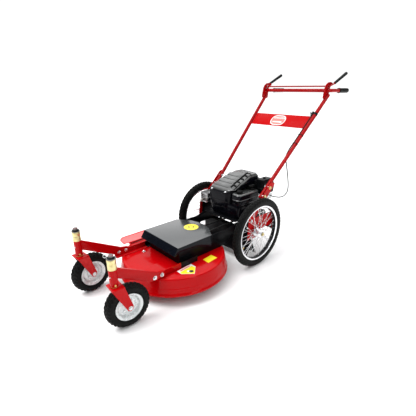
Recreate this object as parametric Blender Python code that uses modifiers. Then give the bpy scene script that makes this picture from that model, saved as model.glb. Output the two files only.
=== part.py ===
# High-wheel walk-behind brush mower, modelled as an assembly.
#
# Working frame: the line through the two rear wheel hubs is y = 0, forward is
# -Y, the operator's left is +X, the ground is z = 0.  Every object hangs on
# the empty "mower_frame", which carries the whole machine so that the origin
# of the file is the middle of its footprint on the ground.
import bpy
import bmesh
import math
from mathutils import Vector, Matrix

# ---------------------------------------------------------------- dimensions
FRAME_X, FRAME_Y = 0.0, 0.041        # where the hub line's middle lies

WHEEL_R = 0.255                      # 20 x 2.125 spoked rear wheel
WHEEL_X = 0.2937
TYRE_W = 0.054
RIM_R = 0.200
SPOKES = 20
HUB_IN, HUB_OUT = 0.2640, 0.3320

CASTER_R = 0.129                     # 10 in front wheel
CASTER_W = 0.067
CASTER_RIM_R = 0.077
SPINDLE_X, SPINDLE_Y = 0.222, -1.084
CASTER_TRAIL = 0.059
STEM_R = 0.0127
TUBE_LOW, TUBE_TOP = 0.2745, 0.3720
SWIVEL_LEFT, SWIVEL_RIGHT = -0.07, 0.07

DECK_Y = -0.535                      # blade spindle centre
DECK_TOP = 0.183
DECK_R = 0.346
RIM_LOW_R = 0.3655
DECK_LOW = 0.072

BELT_LOW, BELT_TOP = 0.2560, 0.2680
CRANK_Y = 0.080
BLADE_PULLEY_R, ENGINE_PULLEY_R = 0.0660, 0.0430   # outside of the belt
BELT_T = 0.0080
BLADE_R = 0.335

RAIL_X = 0.165                       # black chassis rails
SIDE_X = 0.2600                      # red frame side plates, mid-plane
PLATE_Z = 0.3203                     # underside of the engine plate

HANDLE_R = 0.0127
HANDLE_LOW = (0.2295, 0.080, 0.482)
HANDLE_TOP = (0.2957, 0.776, 1.178)
BAR_Y, BAR_Z = 0.766, 1.210
GRIP_X = 0.310
BAIL_Y, BAIL_Z = 0.768, 1.241
BEND_R = 0.022                       # the handlebar's corners
HANDLE_BOLTS = (0.095, 0.150)        # along Y; they lie on the tube's line
STARTER = (0.130, 0.105, 0.5333)     # starter grip's seat

HINGE_X, HINGE_Z = -0.2985, 0.1945   # discharge deflector
IDLER_POST = (-0.1250, -0.3800)
IDLER_ROLLER = (-0.0965, -0.2550)

RED = (0.62, 0.006, 0.008, 1.0)
BLACK = (0.012, 0.012, 0.014, 1.0)

# ------------------------------------------------------------------- set-up
for old in list(bpy.data.objects):
    bpy.data.objects.remove(old, do_unlink=True)

mower = bpy.data.collections.new("brush_mower")
cutters = bpy.data.collections.new("cutters")
bpy.context.scene.collection.children.link(mower)
bpy.context.scene.collection.children.link(cutters)


def empty(name, loc, parent=None):
    e = bpy.data.objects.new(name, None)
    mower.objects.link(e)
    e.location = loc
    e.parent = parent
    return e


frame = empty("mower_frame", (FRAME_X, FRAME_Y, 0.0))

MATS = {}


def material(name, colour, rough, metal):
    if name not in MATS:
        m = bpy.data.materials.new(name)
        m.use_nodes = True
        b = m.node_tree.nodes["Principled BSDF"]
        b.inputs["Base Color"].default_value = colour
        b.inputs["Roughness"].default_value = rough
        b.inputs["Metallic"].default_value = metal
        MATS[name] = m
    return MATS[name]


PAINT = {
    "red": (RED, 0.25, 0.0),
    "black_paint": (BLACK, 0.30, 0.0),
    "black_plastic": (BLACK, 0.45, 0.0),
    "rubber": ((0.016, 0.016, 0.016, 1.0), 0.75, 0.0),
    "chrome": ((0.80, 0.80, 0.82, 1.0), 0.12, 1.0),
    "zinc": ((0.72, 0.58, 0.24, 1.0), 0.35, 1.0),
    "steel": ((0.55, 0.55, 0.57, 1.0), 0.35, 1.0),
    "white_paint": ((0.75, 0.75, 0.76, 1.0), 0.35, 0.0),
    "aluminium": ((0.70, 0.70, 0.72, 1.0), 0.40, 1.0),
}


def give(ob, paint):
    ob.data.materials.clear()
    ob.data.materials.append(material(ob.name + "_" + paint, *PAINT[paint]))


def bake(ob):
    """Replace an object's data by its evaluated mesh, welded."""
    dg = bpy.context.evaluated_depsgraph_get()
    dg.update()
    mesh = bpy.data.meshes.new_from_object(ob.evaluated_get(dg))
    bm = bmesh.new()
    bm.from_mesh(mesh)
    bmesh.ops.remove_doubles(bm, verts=bm.verts, dist=1e-6)
    bmesh.ops.dissolve_degenerate(bm, edges=bm.edges, dist=1e-6)
    bmesh.ops.recalc_face_normals(bm, faces=bm.faces)
    bm.to_mesh(mesh)
    bm.free()
    name, matrix = ob.name, ob.matrix_world.copy()
    coll = ob.users_collection[0]
    bpy.data.objects.remove(ob, do_unlink=True)
    new = bpy.data.objects.new(name, mesh)
    coll.objects.link(new)
    new.matrix_world = matrix
    mesh.materials.clear()
    return new


def boolean(ob, other, operation):
    """Apply a Boolean and drop the second object."""
    mower.objects.unlink(other)
    cutters.objects.link(other)
    other.hide_render = True
    other.display_type = "WIRE"
    bpy.context.view_layer.update()
    mod = ob.modifiers.new("join", "BOOLEAN")
    mod.operation = operation
    mod.solver = "EXACT"
    mod.object = other
    ob = bake(ob)
    bpy.data.objects.remove(other, do_unlink=True)
    return ob


def union(ob, *others):
    for other in others:
        ob = boolean(ob, other, "UNION")
    return ob


def cut(ob, *others):
    for other in others:
        ob = boolean(ob, other, "DIFFERENCE")
    return ob


AXIS = {
    "Z": Matrix.Identity(4),
    "X": Matrix(((0, 0, 1, 0), (1, 0, 0, 0), (0, 1, 0, 0), (0, 0, 0, 1))),
    "Y": Matrix(((0, 1, 0, 0), (0, 0, 1, 0), (1, 0, 0, 0), (0, 0, 0, 1))),
}


def place(ob, axis, loc, turn=None):
    m = Matrix.Translation(loc) @ AXIS[axis]
    if turn is not None:
        m = Matrix.Translation(loc) @ turn @ AXIS[axis]
    ob.matrix_world = m
    bpy.context.view_layer.update()
    return ob


def turned(name, profile, axis="Z", loc=(0, 0, 0), steps=32, ring=False, turn=None):
    """Profile of (radius, height): outer side from top to bottom."""
    me = bpy.data.meshes.new(name)
    bm = bmesh.new()
    vs = [bm.verts.new((r, 0.0, h)) for r, h in profile]
    for a, b in zip(vs, vs[1:]):
        bm.edges.new((a, b))
    if ring:
        bm.edges.new((vs[-1], vs[0]))
    bm.to_mesh(me)
    bm.free()
    ob = bpy.data.objects.new(name, me)
    mower.objects.link(ob)
    s = ob.modifiers.new("turn", "SCREW")
    s.axis = "Z"
    s.angle = 2 * math.pi
    s.steps = s.render_steps = steps
    s.use_merge_vertices = True
    s.merge_threshold = 0.00001
    ob = bake(ob)
    return place(ob, axis, loc, turn)


def rod(name, r, low, high, axis="Z", loc=(0, 0, 0), steps=16, bore=0.0, turn=None):
    if bore:
        prof = [(bore, high), (r, high), (r, low), (bore, low)]
        return turned(name, prof, axis, loc, steps, True, turn)
    return turned(name, [(0, high), (r, high), (r, low), (0, low)], axis, loc, steps, False, turn)


def slab(name, outline, low, high, plane="Z", holes=(), loc=(0, 0, 0), turn=None):
    """Flat outline between two heights.  plane Z takes (x, y), X takes (y, z), Y takes (z, x)."""
    cu = bpy.data.curves.new(name, "CURVE")
    cu.dimensions = "2D"
    cu.fill_mode = "BOTH"
    cu.extrude = (high - low) / 2
    for loop in [outline, *holes]:
        sp = cu.splines.new("POLY")
        sp.points.add(len(loop) - 1)
        for p, (u, v) in zip(sp.points, loop):
            p.co = (u, v, 0.0, 1.0)
        sp.use_cyclic_u = True
    ob = bpy.data.objects.new(name, cu)
    mower.objects.link(ob)
    ob = bake(ob)
    ob.data.transform(Matrix.Translation((0, 0, (high + low) / 2)))
    return place(ob, plane, loc, turn)


def box(name, low, high, bevel=0.0, segments=2):
    me = bpy.data.meshes.new(name)
    bm = bmesh.new()
    bmesh.ops.create_cube(bm, size=1.0)
    size = [b - a for a, b in zip(low, high)]
    mid = [(a + b) / 2 for a, b in zip(low, high)]
    bmesh.ops.scale(bm, vec=size, verts=bm.verts)
    bm.to_mesh(me)
    bm.free()
    ob = bpy.data.objects.new(name, me)
    mower.objects.link(ob)
    if bevel:
        b = ob.modifiers.new("edge", "BEVEL")
        b.width = bevel
        b.segments = segments
        b.limit_method = "ANGLE"
        ob = bake(ob)
    ob.location = mid
    bpy.context.view_layer.update()
    return ob


def tube(name, points, r, resolution=3):
    cu = bpy.data.curves.new(name, "CURVE")
    cu.dimensions = "3D"
    cu.bevel_depth = r
    cu.bevel_resolution = resolution
    cu.use_fill_caps = True
    sp = cu.splines.new("POLY")
    sp.points.add(len(points) - 1)
    for p, c in zip(sp.points, points):
        p.co = (*c, 1.0)
    ob = bpy.data.objects.new(name, cu)
    mower.objects.link(ob)
    return bake(ob)


def circle(u, v, r, n=16):
    return [(u + r * math.cos(2 * math.pi * i / n), v + r * math.sin(2 * math.pi * i / n)) for i in range(n)]


def hexagon(r, phase=0.0):
    return [(r * math.cos(phase + math.pi * i / 3), r * math.sin(phase + math.pi * i / 3)) for i in range(6)]


def smooth_route(points, step):
    """Catmull-Rom through the points, sampled evenly."""
    pts = [Vector(p) for p in points]
    pts = [2 * pts[0] - pts[1]] + pts + [2 * pts[-1] - pts[-2]]
    fine = []
    for i in range(1, len(pts) - 2):
        p0, p1, p2, p3 = pts[i - 1:i + 3]
        for k in range(24):
            t = k / 24
            fine.append(0.5 * ((2 * p1) + (p2 - p0) * t + (2 * p0 - 5 * p1 + 4 * p2 - p3) * t * t
                               + (3 * p1 - p0 - 3 * p2 + p3) * t ** 3))
    fine.append(pts[-2])
    length = [0.0]
    for a, b in zip(fine, fine[1:]):
        length.append(length[-1] + (b - a).length)
    n = max(2, round(length[-1] / step))
    out, j = [], 0
    for k in range(n + 1):
        s = length[-1] * k / n
        while j < len(length) - 2 and length[j + 1] < s:
            j += 1
        f = (s - length[j]) / max(1e-9, length[j + 1] - length[j])
        out.append(fine[j].lerp(fine[j + 1], min(1.0, f)))
    return out


def fit(ob, paint, pivot=None, smooth=True):
    """Give the finish and hang the piece on its pivot (default: the frame)."""
    give(ob, paint)
    base = Vector((0, 0, 0)) if pivot is None else pivot.location.copy()
    ob.matrix_world = Matrix.Translation(-base) @ ob.matrix_world
    ob.parent = frame if pivot is None else pivot
    ob.matrix_parent_inverse = Matrix.Identity(4)
    if smooth:
        ob.data.shade_smooth()
        ob.data.set_sharp_from_angle(angle=math.radians(35))
    return ob


SIDES = (("left", 1.0), ("right", -1.0))

# ============================================================ mowing deck
skirt = turned("deck_skirt", [
    (DECK_R - 0.0039, DECK_TOP - 0.0022), (DECK_R, DECK_TOP - 0.0060),
    (0.3605, 0.092), (RIM_LOW_R, 0.086), (RIM_LOW_R, DECK_LOW), (RIM_LOW_R - 0.008, DECK_LOW),
    (0.3570, 0.090), (DECK_R - 0.0039, DECK_TOP - 0.0085)], loc=(0, DECK_Y, 0), steps=36, ring=True)
skirt = cut(skirt, box("chute_mouth", (-0.45, -0.700, 0.100), (-0.28, -0.545, 0.1700)))
fit(skirt, "red")
deck = turned("deck_shell", [
    (0.0316, DECK_TOP), (DECK_R - 0.0070, DECK_TOP), (DECK_R - 0.0044, DECK_TOP - 0.0012), (DECK_R - 0.0044, DECK_TOP - 0.0035),
    (0.0316, DECK_TOP - 0.0035)], loc=(0, DECK_Y, 0), steps=36, ring=True)
# welded on it: the deflector's hinge bracket with its pin, and the clutch idler's post
deck = union(deck, box("hinge_base", (-0.2910, -0.7060, DECK_TOP - 0.0020), (-0.2600, -0.5340, DECK_TOP + 0.0033)))
for y_a, y_b in ((-0.7060, -0.6980), (-0.5420, -0.5340)):
    deck = union(deck, slab("lug", [(DECK_TOP + 0.0010, -0.2900), (DECK_TOP + 0.0010, -0.2700), (HINGE_Z, HINGE_X + 0.0065),
                                    (HINGE_Z + 0.0065, HINGE_X), (HINGE_Z, HINGE_X - 0.0065), (HINGE_Z - 0.0060, HINGE_X - 0.0040)],
                            y_a, y_b, "Y"))
deck = union(deck, rod("pin", 0.0030, -0.7040, -0.5360, "Y", (HINGE_X, 0, HINGE_Z), 10))
deck = union(deck, turned("post", [(0, 0.2860), (0.0120, 0.2860), (0.0120, 0.2830), (0.0070, 0.2830), (0.0070, 0.2745), (0.0120, 0.2745),
                                   (0.0120, DECK_TOP - 0.0020), (0, DECK_TOP - 0.0020)], "Z", (*IDLER_POST, 0), 16))
fit(deck, "red")

# longitudinal angle rails on the deck top
for name, s in SIDES:
    lo, hi = 0.1733, 0.2050
    prof = [(DECK_TOP + 0.0003, s * lo), (DECK_TOP + 0.0003, s * hi), (DECK_TOP + 0.038, s * hi),
            (DECK_TOP + 0.038, s * (hi - 0.004)), (DECK_TOP + 0.0043, s * (hi - 0.004)), (DECK_TOP + 0.0043, s * lo)]
    rail = slab("deck_rail_" + name, prof, -0.868, -0.500, "Y")
    for y in (-0.835, -0.785):
        rail = cut(rail, rod("hole", 0.0046, s * 0.19 if s > 0 else -0.22, s * 0.22 if s > 0 else -0.19, "X", (0, y, 0.2075), 8))
    fit(rail, "red", smooth=False)

# caster arms: a flat bar welded to the spindle tube
for name, s in SIDES:
    x0, x1 = sorted((s * 0.2054, s * 0.2174))
    arm = slab("caster_arm_" + name, [
        (-1.080, 0.368), (-1.064, 0.3700), (-0.812, 0.2350), (-0.768, 0.2270), (-0.762, 0.2180),
        (-0.764, 0.1905), (-0.826, 0.1880), (-0.880, 0.2050), (-1.064, 0.3060), (-1.080, 0.304)], x0, x1, "X")
    arm = union(arm, rod("tube", 0.0220, TUBE_LOW, TUBE_TOP, "Z", (s * SPINDLE_X, SPINDLE_Y, 0), 20))
    arm = cut(arm, rod("bore", 0.0134, TUBE_LOW - 0.01, TUBE_TOP + 0.01, "Z", (s * SPINDLE_X, SPINDLE_Y, 0), 20))
    for y in (-0.835, -0.785):
        arm = cut(arm, rod("hole", 0.0046, s * 0.20 if s > 0 else -0.23, s * 0.23 if s > 0 else -0.20, "X", (0, y, 0.2075), 8))
    fit(arm, "red")

# ============================================================ casters
casters = {}
for name, s in SIDES:
    pivot = empty("caster_swivel_" + name, (s * SPINDLE_X, SPINDLE_Y, 0.0), frame)
    px, py = s * SPINDLE_X, SPINDLE_Y
    wy = SPINDLE_Y + CASTER_TRAIL
    fork = box("caster_fork_" + name, (px - 0.0425, py - 0.030, 0.2622), (px + 0.0425, py + 0.040, 0.2682))
    leg = [(py - 0.029, 0.2640), (py + 0.039, 0.2640), (wy + 0.0175, 0.1400), (wy + 0.0150, 0.1200),
           (wy + 0.0020, 0.1110), (wy - 0.0140, 0.1160)]
    for a, b in ((0.0378, 0.0423), (-0.0423, -0.0378)):
        fork = union(fork, slab("leg", leg, px + a, px + b, "X"))
    fork = union(fork, rod("stem", STEM_R, 0.2650, 0.4530, "Z", (px, py, 0), 20))
    fork = cut(fork, rod("axle_hole", 0.0063, -0.08, 0.08, "X", (px, wy, CASTER_R), 16))
    fit(fork, "red", pivot)

    spacer = turned("height_spacers_" + name, [
        (0.0131, 0.4418), (0.0245, 0.4418), (0.0245, 0.4388), (0.0232, 0.4380), (0.0232, 0.4075), (0.0218, 0.4055),
        (0.0232, 0.4035), (0.0232, 0.3724), (0.0131, 0.3724)], "Z", (px, py, 0), 16, True)
    fit(spacer, "zinc", pivot)
    bolt = rod("caster_axle_" + name, 0.0060, -0.0440, 0.0440, "X", (px, wy, CASTER_R), 12)
    for h in ((0.0426, 0.0500), (-0.0500, -0.0426)):
        bolt = union(bolt, slab("hex", hexagon(0.0105), h[0], h[1], "X", loc=(px, wy, CASTER_R)))
    fit(bolt, "zinc", pivot)

    spin = empty("caster_spin_" + name, (0.0, CASTER_TRAIL, CASTER_R), pivot)
    centre = Vector((px, wy, CASTER_R))
    w = CASTER_W / 2
    tyre = turned("caster_tyre_" + name, [
        (0.0775, 0.0290), (0.1010, w), (0.1170, 0.0290), (0.1262, 0.0180), (CASTER_R, 0.0),
        (0.1262, -0.0180), (0.1170, -0.0290), (0.1010, -w), (0.0775, -0.0290)],
        "X", centre, 24, True)
    rim = turned("caster_rim_" + name, [
        (0.0066, 0.0370), (0.0175, 0.0370), (0.0190, 0.0060), (0.0560, 0.0040), (0.0630, 0.0270), (0.0772, 0.0300),
        (0.0772, 0.0270), (0.0660, 0.0235), (0.0650, 0.0000), (0.0660, -0.0235), (0.0772, -0.0270), (0.0772, -0.0300),
        (0.0630, -0.0270), (0.0560, -0.0040), (0.0190, -0.0060), (0.0175, -0.0370), (0.0066, -0.0370)], "X", centre, 24, True)
    for ob, paint in ((tyre, "rubber"), (rim, "white_paint")):
        give(ob, paint)
        ob.matrix_world = Matrix.Translation(-centre) @ ob.matrix_world
        ob.parent = spin
        ob.matrix_parent_inverse = Matrix.Identity(4)
        ob.data.shade_smooth()
        ob.data.set_sharp_from_angle(angle=math.radians(35))
    pivot.rotation_euler = (0, 0, SWIVEL_LEFT if s > 0 else SWIVEL_RIGHT)

# ============================================================ blade spindle
c = (0, DECK_Y, 0)
housing = turned("spindle_housing", [
    (0.0236, 0.2440), (0.0310, 0.2440), (0.0310, 0.1960), (0.0620, 0.1905), (0.0620, DECK_TOP + 0.0003),
    (0.0310, DECK_TOP + 0.0003), (0.0310, 0.1450), (0.0236, 0.1450)], loc=c, steps=24, ring=True)
fit(housing, "black_paint")
for name, z in (("upper", 0.2285), ("lower", 0.1465)):
    bearing = rod("spindle_bearing_" + name, 0.0233, z, z + 0.014, "Z", c, 24, bore=0.0103)
    fit(bearing, "steel")

spindle = empty("blade_spindle", c, frame)
fit(rod("spindle_shaft", 0.0100, 0.1180, 0.2960, "Z", c, 20), "steel", spindle)
b_in = BLADE_PULLEY_R - BELT_T - 0.0004
fit(turned("blade_pulley", [
    (0.0103, 0.2850), (0.0190, 0.2850), (0.0190, 0.2740), (0.0700, 0.2740), (0.0700, 0.2710),
    (b_in, 0.2685), (b_in, 0.2555), (0.0700, 0.2530), (0.0700, 0.2500), (0.0103, 0.2500)],
    loc=c, steps=24, ring=True), "steel", spindle)
fit(turned("blade_holder", [
    (0.0103, 0.1440), (0.0200, 0.1440), (0.0200, 0.1200), (0.0550, 0.1175), (0.0550, 0.1106),
    (0.0056, 0.1106), (0.0056, 0.1176), (0.0103, 0.1176)], loc=c, steps=20, ring=True), "steel", spindle)
half = 0.030
blade = slab("cutting_blade", [
    (-BLADE_R, -half), (-0.20, -half), (0.20, -half), (BLADE_R - 0.012, -half), (BLADE_R, half),
    (0.20, half), (-0.20, half), (-BLADE_R + 0.012, half)], 0.1040, 0.1103, "Z",
    holes=[circle(0, 0, 0.0058, 12)], loc=c)
blade.matrix_world = Matrix.Translation(c) @ Matrix.Rotation(math.radians(20), 4, "Z")
fit(blade, "steel", spindle, smooth=False)

# ============================================================ chassis
# one welded frame: two rails, the front of the belt tunnel, two cross tubes and the guard under the axle line
chassis = box("chassis_frame", (-RAIL_X - 0.0010, -0.6170, DECK_TOP + 0.0003), (RAIL_X + 0.0010, -0.6140, 0.2700))
for name, s in SIDES:
    chassis = union(chassis, slab("rail", [
        (-0.618, DECK_TOP + 0.0003), (-0.618, 0.2960), (-0.600, 0.3000), (-0.180, 0.3000), (-0.110, 0.3200),
        (0.250, 0.3200), (0.250, 0.2390), (-0.140, 0.2390), (-0.215, DECK_TOP + 0.0003)],
        s * RAIL_X - 0.0020, s * RAIL_X + 0.0020, "X"))
for y, z, h in ((0.0, 0.2225, 0.019), (0.232, 0.2275, 0.017)):
    chassis = union(chassis, box("cross_tube", (-0.2570, y - h, z - h), (0.2570, y + h, z + h)))
    chassis = cut(chassis, box("inside", (-0.2700, y - h + 0.003, z - h + 0.003), (0.2700, y + h - 0.003, z + h - 0.003)))
chassis = union(chassis, slab("guard", [(-0.0180, 0.2380), (-0.0225, 0.2380), (-0.0225, 0.1300), (-0.0600, 0.0660), (-0.0575, 0.0645),
                                        (-0.0180, 0.1290)], -0.2450, 0.2450, "X"))
fit(chassis, "black_paint", smooth=False)

# sheet-metal cover over the belt: flat top, sloping front, side flanges, angled rear corners


def cover_form(name, grow, low):
    side = [(-0.672 - grow * 1.2, 0.2680 if grow >= 0 else low), (-0.640 - grow, 0.3150 + grow), (-0.2800 + grow, 0.3150 + grow),
            (-0.2800 + grow, low), (-0.330, low)]
    if grow >= 0:
        side += [(-0.500, 0.2780), (-0.628, 0.2840), (-0.662, 0.2640)]
    form = slab(name, side, -0.1880 - grow, 0.1880 + grow, "X")
    for s in (1, -1):
        g = grow * 1.2
        form = cut(form, slab("corner", [(s * (0.192 + grow), -0.3638 + g), (s * (0.095 + grow * 0.5), -0.2960 + g), (s * 0.030, -0.2800 + g),
                                         (s * 0.030, -0.15), (s * 0.30, -0.15), (s * 0.30, -0.3638 + g)], 0.1, 0.4, "Z"))
    return form


cover = cover_form("belt_cover", 0.0, 0.2220)
cover = cut(cover, cover_form("hollow", -0.0025, 0.1500), box("rear_opening", (-0.146, -0.3600, 0.15), (0.146, -0.20, 0.3125)))
# slots in the angled corners, where the two rails come out
for s in (1, -1):
    x0, x1 = sorted((s * (RAIL_X - 0.0055), s * (RAIL_X + 0.0055)))
    cover = cut(cover, box("rail_slot", (x0, -0.3700, 0.150), (x1, -0.200, 0.3030)))
fit(cover, "black_paint", smooth=False)

# engine plate and cross members
plate = slab("engine_plate", [(-0.160, -0.100), (0.160, -0.100), (0.160, 0.255), (-0.160, 0.255)], PLATE_Z, PLATE_Z + 0.006,
             "Z", holes=[circle(0, CRANK_Y, 0.022, 20)])
fit(plate, "black_paint", smooth=False)
for name, s in SIDES:
    side = slab("frame_side_" + name, [
        (-0.0660, 0.3600), (0.1540, 0.5800), (0.1760, 0.5880), (0.2020, 0.5790), (0.2070, 0.5700), (-0.0030, 0.3600), (0.250, 0.3600), (0.250, 0.2080),
        (0.2100, 0.2080), (0.2000, 0.2560), (0.100, 0.2560), (0.0300, 0.2500), (0.0240, 0.2020), (-0.0745, 0.2020)],
        s * SIDE_X - 0.0025, s * SIDE_X + 0.0025, "X", holes=[circle(0, WHEEL_R, 0.0085, 16)])
    for y in HANDLE_BOLTS:
        side = cut(side, rod("hole", 0.0046, s * SIDE_X - 0.01, s * SIDE_X + 0.01, "X", (0, y, y + 0.402), 8))
    fit(side, "red", smooth=False)

# ============================================================ rear wheels
for name, s in SIDES:
    centre = Vector((s * WHEEL_X, 0, WHEEL_R))
    spin = empty("rear_wheel_" + name, centre, frame)
    w = TYRE_W / 2
    tyre = turned("rear_tyre_" + name, [
        (0.2005, 0.0170), (0.2270, w), (0.2440, 0.0220), (WHEEL_R, 0.0),
        (0.2440, -0.0220), (0.2270, -w), (0.2005, -0.0170)],
        "X", centre, 36, True)
    fit(tyre, "rubber", spin)
    rim = turned("rim", [
        (0.1870, 0.0080), (0.1950, 0.0180), (0.2000, 0.0180), (0.2000, -0.0180), (0.1950, -0.0180), (0.1870, -0.0080)],
        "X", centre, 36, True)
    a, b = HUB_IN - WHEEL_X, HUB_OUT - WHEEL_X
    prof = [(0.0087, b), (0.0150, b), (0.0150, b - 0.010), (0.0300, b - 0.011), (0.0300, b - 0.014), (0.0145, b - 0.015),
            (0.0145, a + 0.015), (0.0300, a + 0.014), (0.0300, a + 0.011), (0.0150, a + 0.010), (0.0150, a), (0.0087, a)]
    if s < 0:
        prof = [(r, -h) for r, h in reversed(prof)]
    hub = turned("spoked_wheel_" + name, prof, "X", centre, 12, True)
    ends = [(b - 0.0125) * s, (a + 0.0125) * s]
    me = bpy.data.meshes.new("spokes")
    bm = bmesh.new()
    for i in range(SPOKES):
        t = 2 * math.pi * i / SPOKES
        h0 = ends[i % 2]
        p = Vector((h0, 0.0255 * math.cos(t), 0.0255 * math.sin(t)))
        q = Vector((h0 * 0.10, 0.1890 * math.cos(t), 0.1890 * math.sin(t)))
        d = (q - p).normalized()
        m = Matrix.Translation((p + q) / 2) @ d.to_track_quat("Z", "Y").to_matrix().to_4x4()
        bmesh.ops.create_cone(bm, cap_ends=True, segments=4, radius1=0.0011, radius2=0.0011, depth=(q - p).length, matrix=m)
    bm.to_mesh(me)
    bm.free()
    spokes = bpy.data.objects.new("spokes", me)
    mower.objects.link(spokes)
    spokes.location = centre
    bpy.context.view_layer.update()
    hub = union(hub, spokes, rim)
    fit(hub, "chrome", spin)
    x_in, x_out = 0.2510, 0.3450
    prof = [(0, x_out), (0.0100, x_out), (0.0120, x_out - 0.002), (0.0120, HUB_OUT + 0.0004), (0.0082, HUB_OUT + 0.0004),
            (0.0082, x_in), (0, x_in)]
    axle = turned("rear_axle_bolt_" + name, prof, "X", (0, 0, WHEEL_R), 16)
    if s < 0:
        axle.matrix_world = Matrix.Rotation(math.pi, 4, "Z") @ axle.matrix_world
    fit(axle, "zinc")

# ============================================================ engine
e = (0, CRANK_Y, 0)
block = rod("engine_block", 0.0780, PLATE_Z + 0.0063, 0.4200, "Z", e, 24)
block = union(block, box("cylinder", (-0.1450, 0.020, 0.3400), (-0.060, 0.150, 0.4180), 0.006))
block = union(block, rod("neck", 0.0450, 0.4000, 0.4480, "Z", e, 24))
block = cut(block, rod("main_bore", 0.0135, 0.30, 0.46, "Z", e, 16))
fit(block, "aluminium")


def rounded(x0, x1, y0, y1, r, n=3):
    out = []
    for cx, cy, t0 in ((x1 - r, y1 - r, 0), (x0 + r, y1 - r, 90), (x0 + r, y0 + r, 180), (x1 - r, y0 + r, 270)):
        for k in range(n + 1):
            t = math.radians(t0 + 90 * k / n)
            out.append((cx + r * math.cos(t), cy + r * math.sin(t)))
    return out


def loft(name, levels):
    """Closed body through rounded rectangles (x0, x1, y0, y1, r, z) of equal point count."""
    me = bpy.data.meshes.new(name)
    bm = bmesh.new()
    rings = []
    for x0, x1, y0, y1, r, z in levels:
        rings.append([bm.verts.new((x, y, z)) for x, y in rounded(x0, x1, y0, y1, r)])
    for a, b in zip(rings, rings[1:]):
        n = len(a)
        for i in range(n):
            bm.faces.new((a[i], a[(i + 1) % n], b[(i + 1) % n], b[i]))
    bm.faces.new(list(reversed(rings[0])))
    bm.faces.new(rings[-1])
    bmesh.ops.recalc_face_normals(bm, faces=bm.faces)
    bm.to_mesh(me)
    bm.free()
    ob = bpy.data.objects.new(name, me)
    mower.objects.link(ob)
    bpy.context.view_layer.update()
    return ob


shroud = loft("blower_housing", [
    (-0.150, 0.0850, -0.085, 0.240, 0.050, 0.4000), (-0.150, 0.0850, -0.085, 0.240, 0.050, 0.5100),
    (-0.143, 0.0850, -0.079, 0.239, 0.048, 0.5200), (-0.138, 0.0980, -0.072, 0.238, 0.045, 0.5320), (-0.118, 0.1100, 0.000, 0.235, 0.040, 0.5720),
    (-0.095, 0.1050, 0.080, 0.228, 0.035, 0.6040), (-0.075, 0.0900, 0.120, 0.215, 0.030, 0.6220)])
inner = loft("inside", [
    (-0.147, 0.0820, -0.082, 0.237, 0.047, 0.3900), (-0.147, 0.0820, -0.082, 0.237, 0.047, 0.5090),
    (-0.140, 0.0820, -0.076, 0.236, 0.045, 0.5190), (-0.134, 0.0930, -0.068, 0.234, 0.042, 0.5310), (-0.114, 0.1060, 0.006, 0.231, 0.037, 0.5700),
    (-0.091, 0.0990, 0.084, 0.224, 0.032, 0.6010), (-0.073, 0.0860, 0.123, 0.212, 0.028, 0.6190)])
shroud = cut(shroud, inner)
# the seat that the starter grip rests on, with the rope's eye
shroud = union(shroud, box("rope_seat", (0.0950, STARTER[1] - 0.018, 0.5230), (STARTER[0] + 0.016, STARTER[1] + 0.018, STARTER[2] - 0.0003), 0.002, 1))
shroud = cut(shroud, rod("rope_hole", 0.0032, 0.51, 0.545, "Z", (STARTER[0], STARTER[1], 0), 12))
fit(shroud, "black_plastic")

tank = loft("fuel_tank", [
    (0.0860, 0.1660, -0.070, 0.145, 0.024, 0.4300), (0.0860, 0.1760, -0.078, 0.152, 0.030, 0.4500),
    (0.0860, 0.1760, -0.078, 0.152, 0.030, 0.5050), (0.0890, 0.1680, -0.070, 0.145, 0.026, 0.5185)])
fit(tank, "black_plastic")
cap_at = (0.1320, -0.030, 0)
cap = turned("fuel_cap", [(0, 0.5400), (0.0190, 0.5400), (0.0215, 0.5370), (0.0215, 0.5190), (0, 0.5190)], "Z", cap_at, 24)
cap_pivot = empty("fuel_cap_axis", cap_at, frame)
fit(cap, "black_plastic", cap_pivot)

muffler = box("muffler", (-0.2320, -0.085, 0.3850), (-0.1540, 0.018, 0.4600), 0.012, 3)
fit(muffler, "aluminium")
cleaner = loft("air_cleaner", [
    (0.1190, 0.1950, 0.160, 0.300, 0.018, 0.4800), (0.1190, 0.1980, 0.158, 0.305, 0.018, 0.5450),
    (0.1210, 0.1900, 0.162, 0.280, 0.016, 0.5900)])
fit(cleaner, "black_plastic")
carb = box("carburettor", (0.1300, 0.190, 0.4380), (0.2030, 0.268, 0.4795), 0.004)
fit(carb, "aluminium")

crank = empty("crankshaft_axis", e, frame)
shaft = rod("crankshaft", 0.0125, 0.2400, 0.4700, "Z", e, 20)
fit(shaft, "steel", crank)
e_in = ENGINE_PULLEY_R - BELT_T - 0.0004
fit(turned("engine_pulley", [
    (0.0128, 0.2740), (0.0470, 0.2740), (0.0470, 0.2710), (e_in, 0.2685), (e_in, 0.2555), (0.0470, 0.2530), (0.0470, 0.2500),
    (0.0128, 0.2500)], loc=e, steps=20, ring=True), "steel", crank)

# starter grip on its rope, pulled straight up
pull = empty("starter_pull", STARTER, frame)
grip = turned("starter_grip", [(0, 0.0240), (0.0110, 0.0225), (0.0140, 0.0150), (0.0120, 0.0040), (0.0060, 0.0000), (0, 0.0000)],
              "Z", STARTER, 16)
grip.data.transform(Matrix.Diagonal((1.0, 2.3, 1.0, 1.0)))
fit(grip, "black_plastic", pull)

# ============================================================ drive belt
y1, y2 = DECK_Y, CRANK_Y
span = y2 - y1


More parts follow.
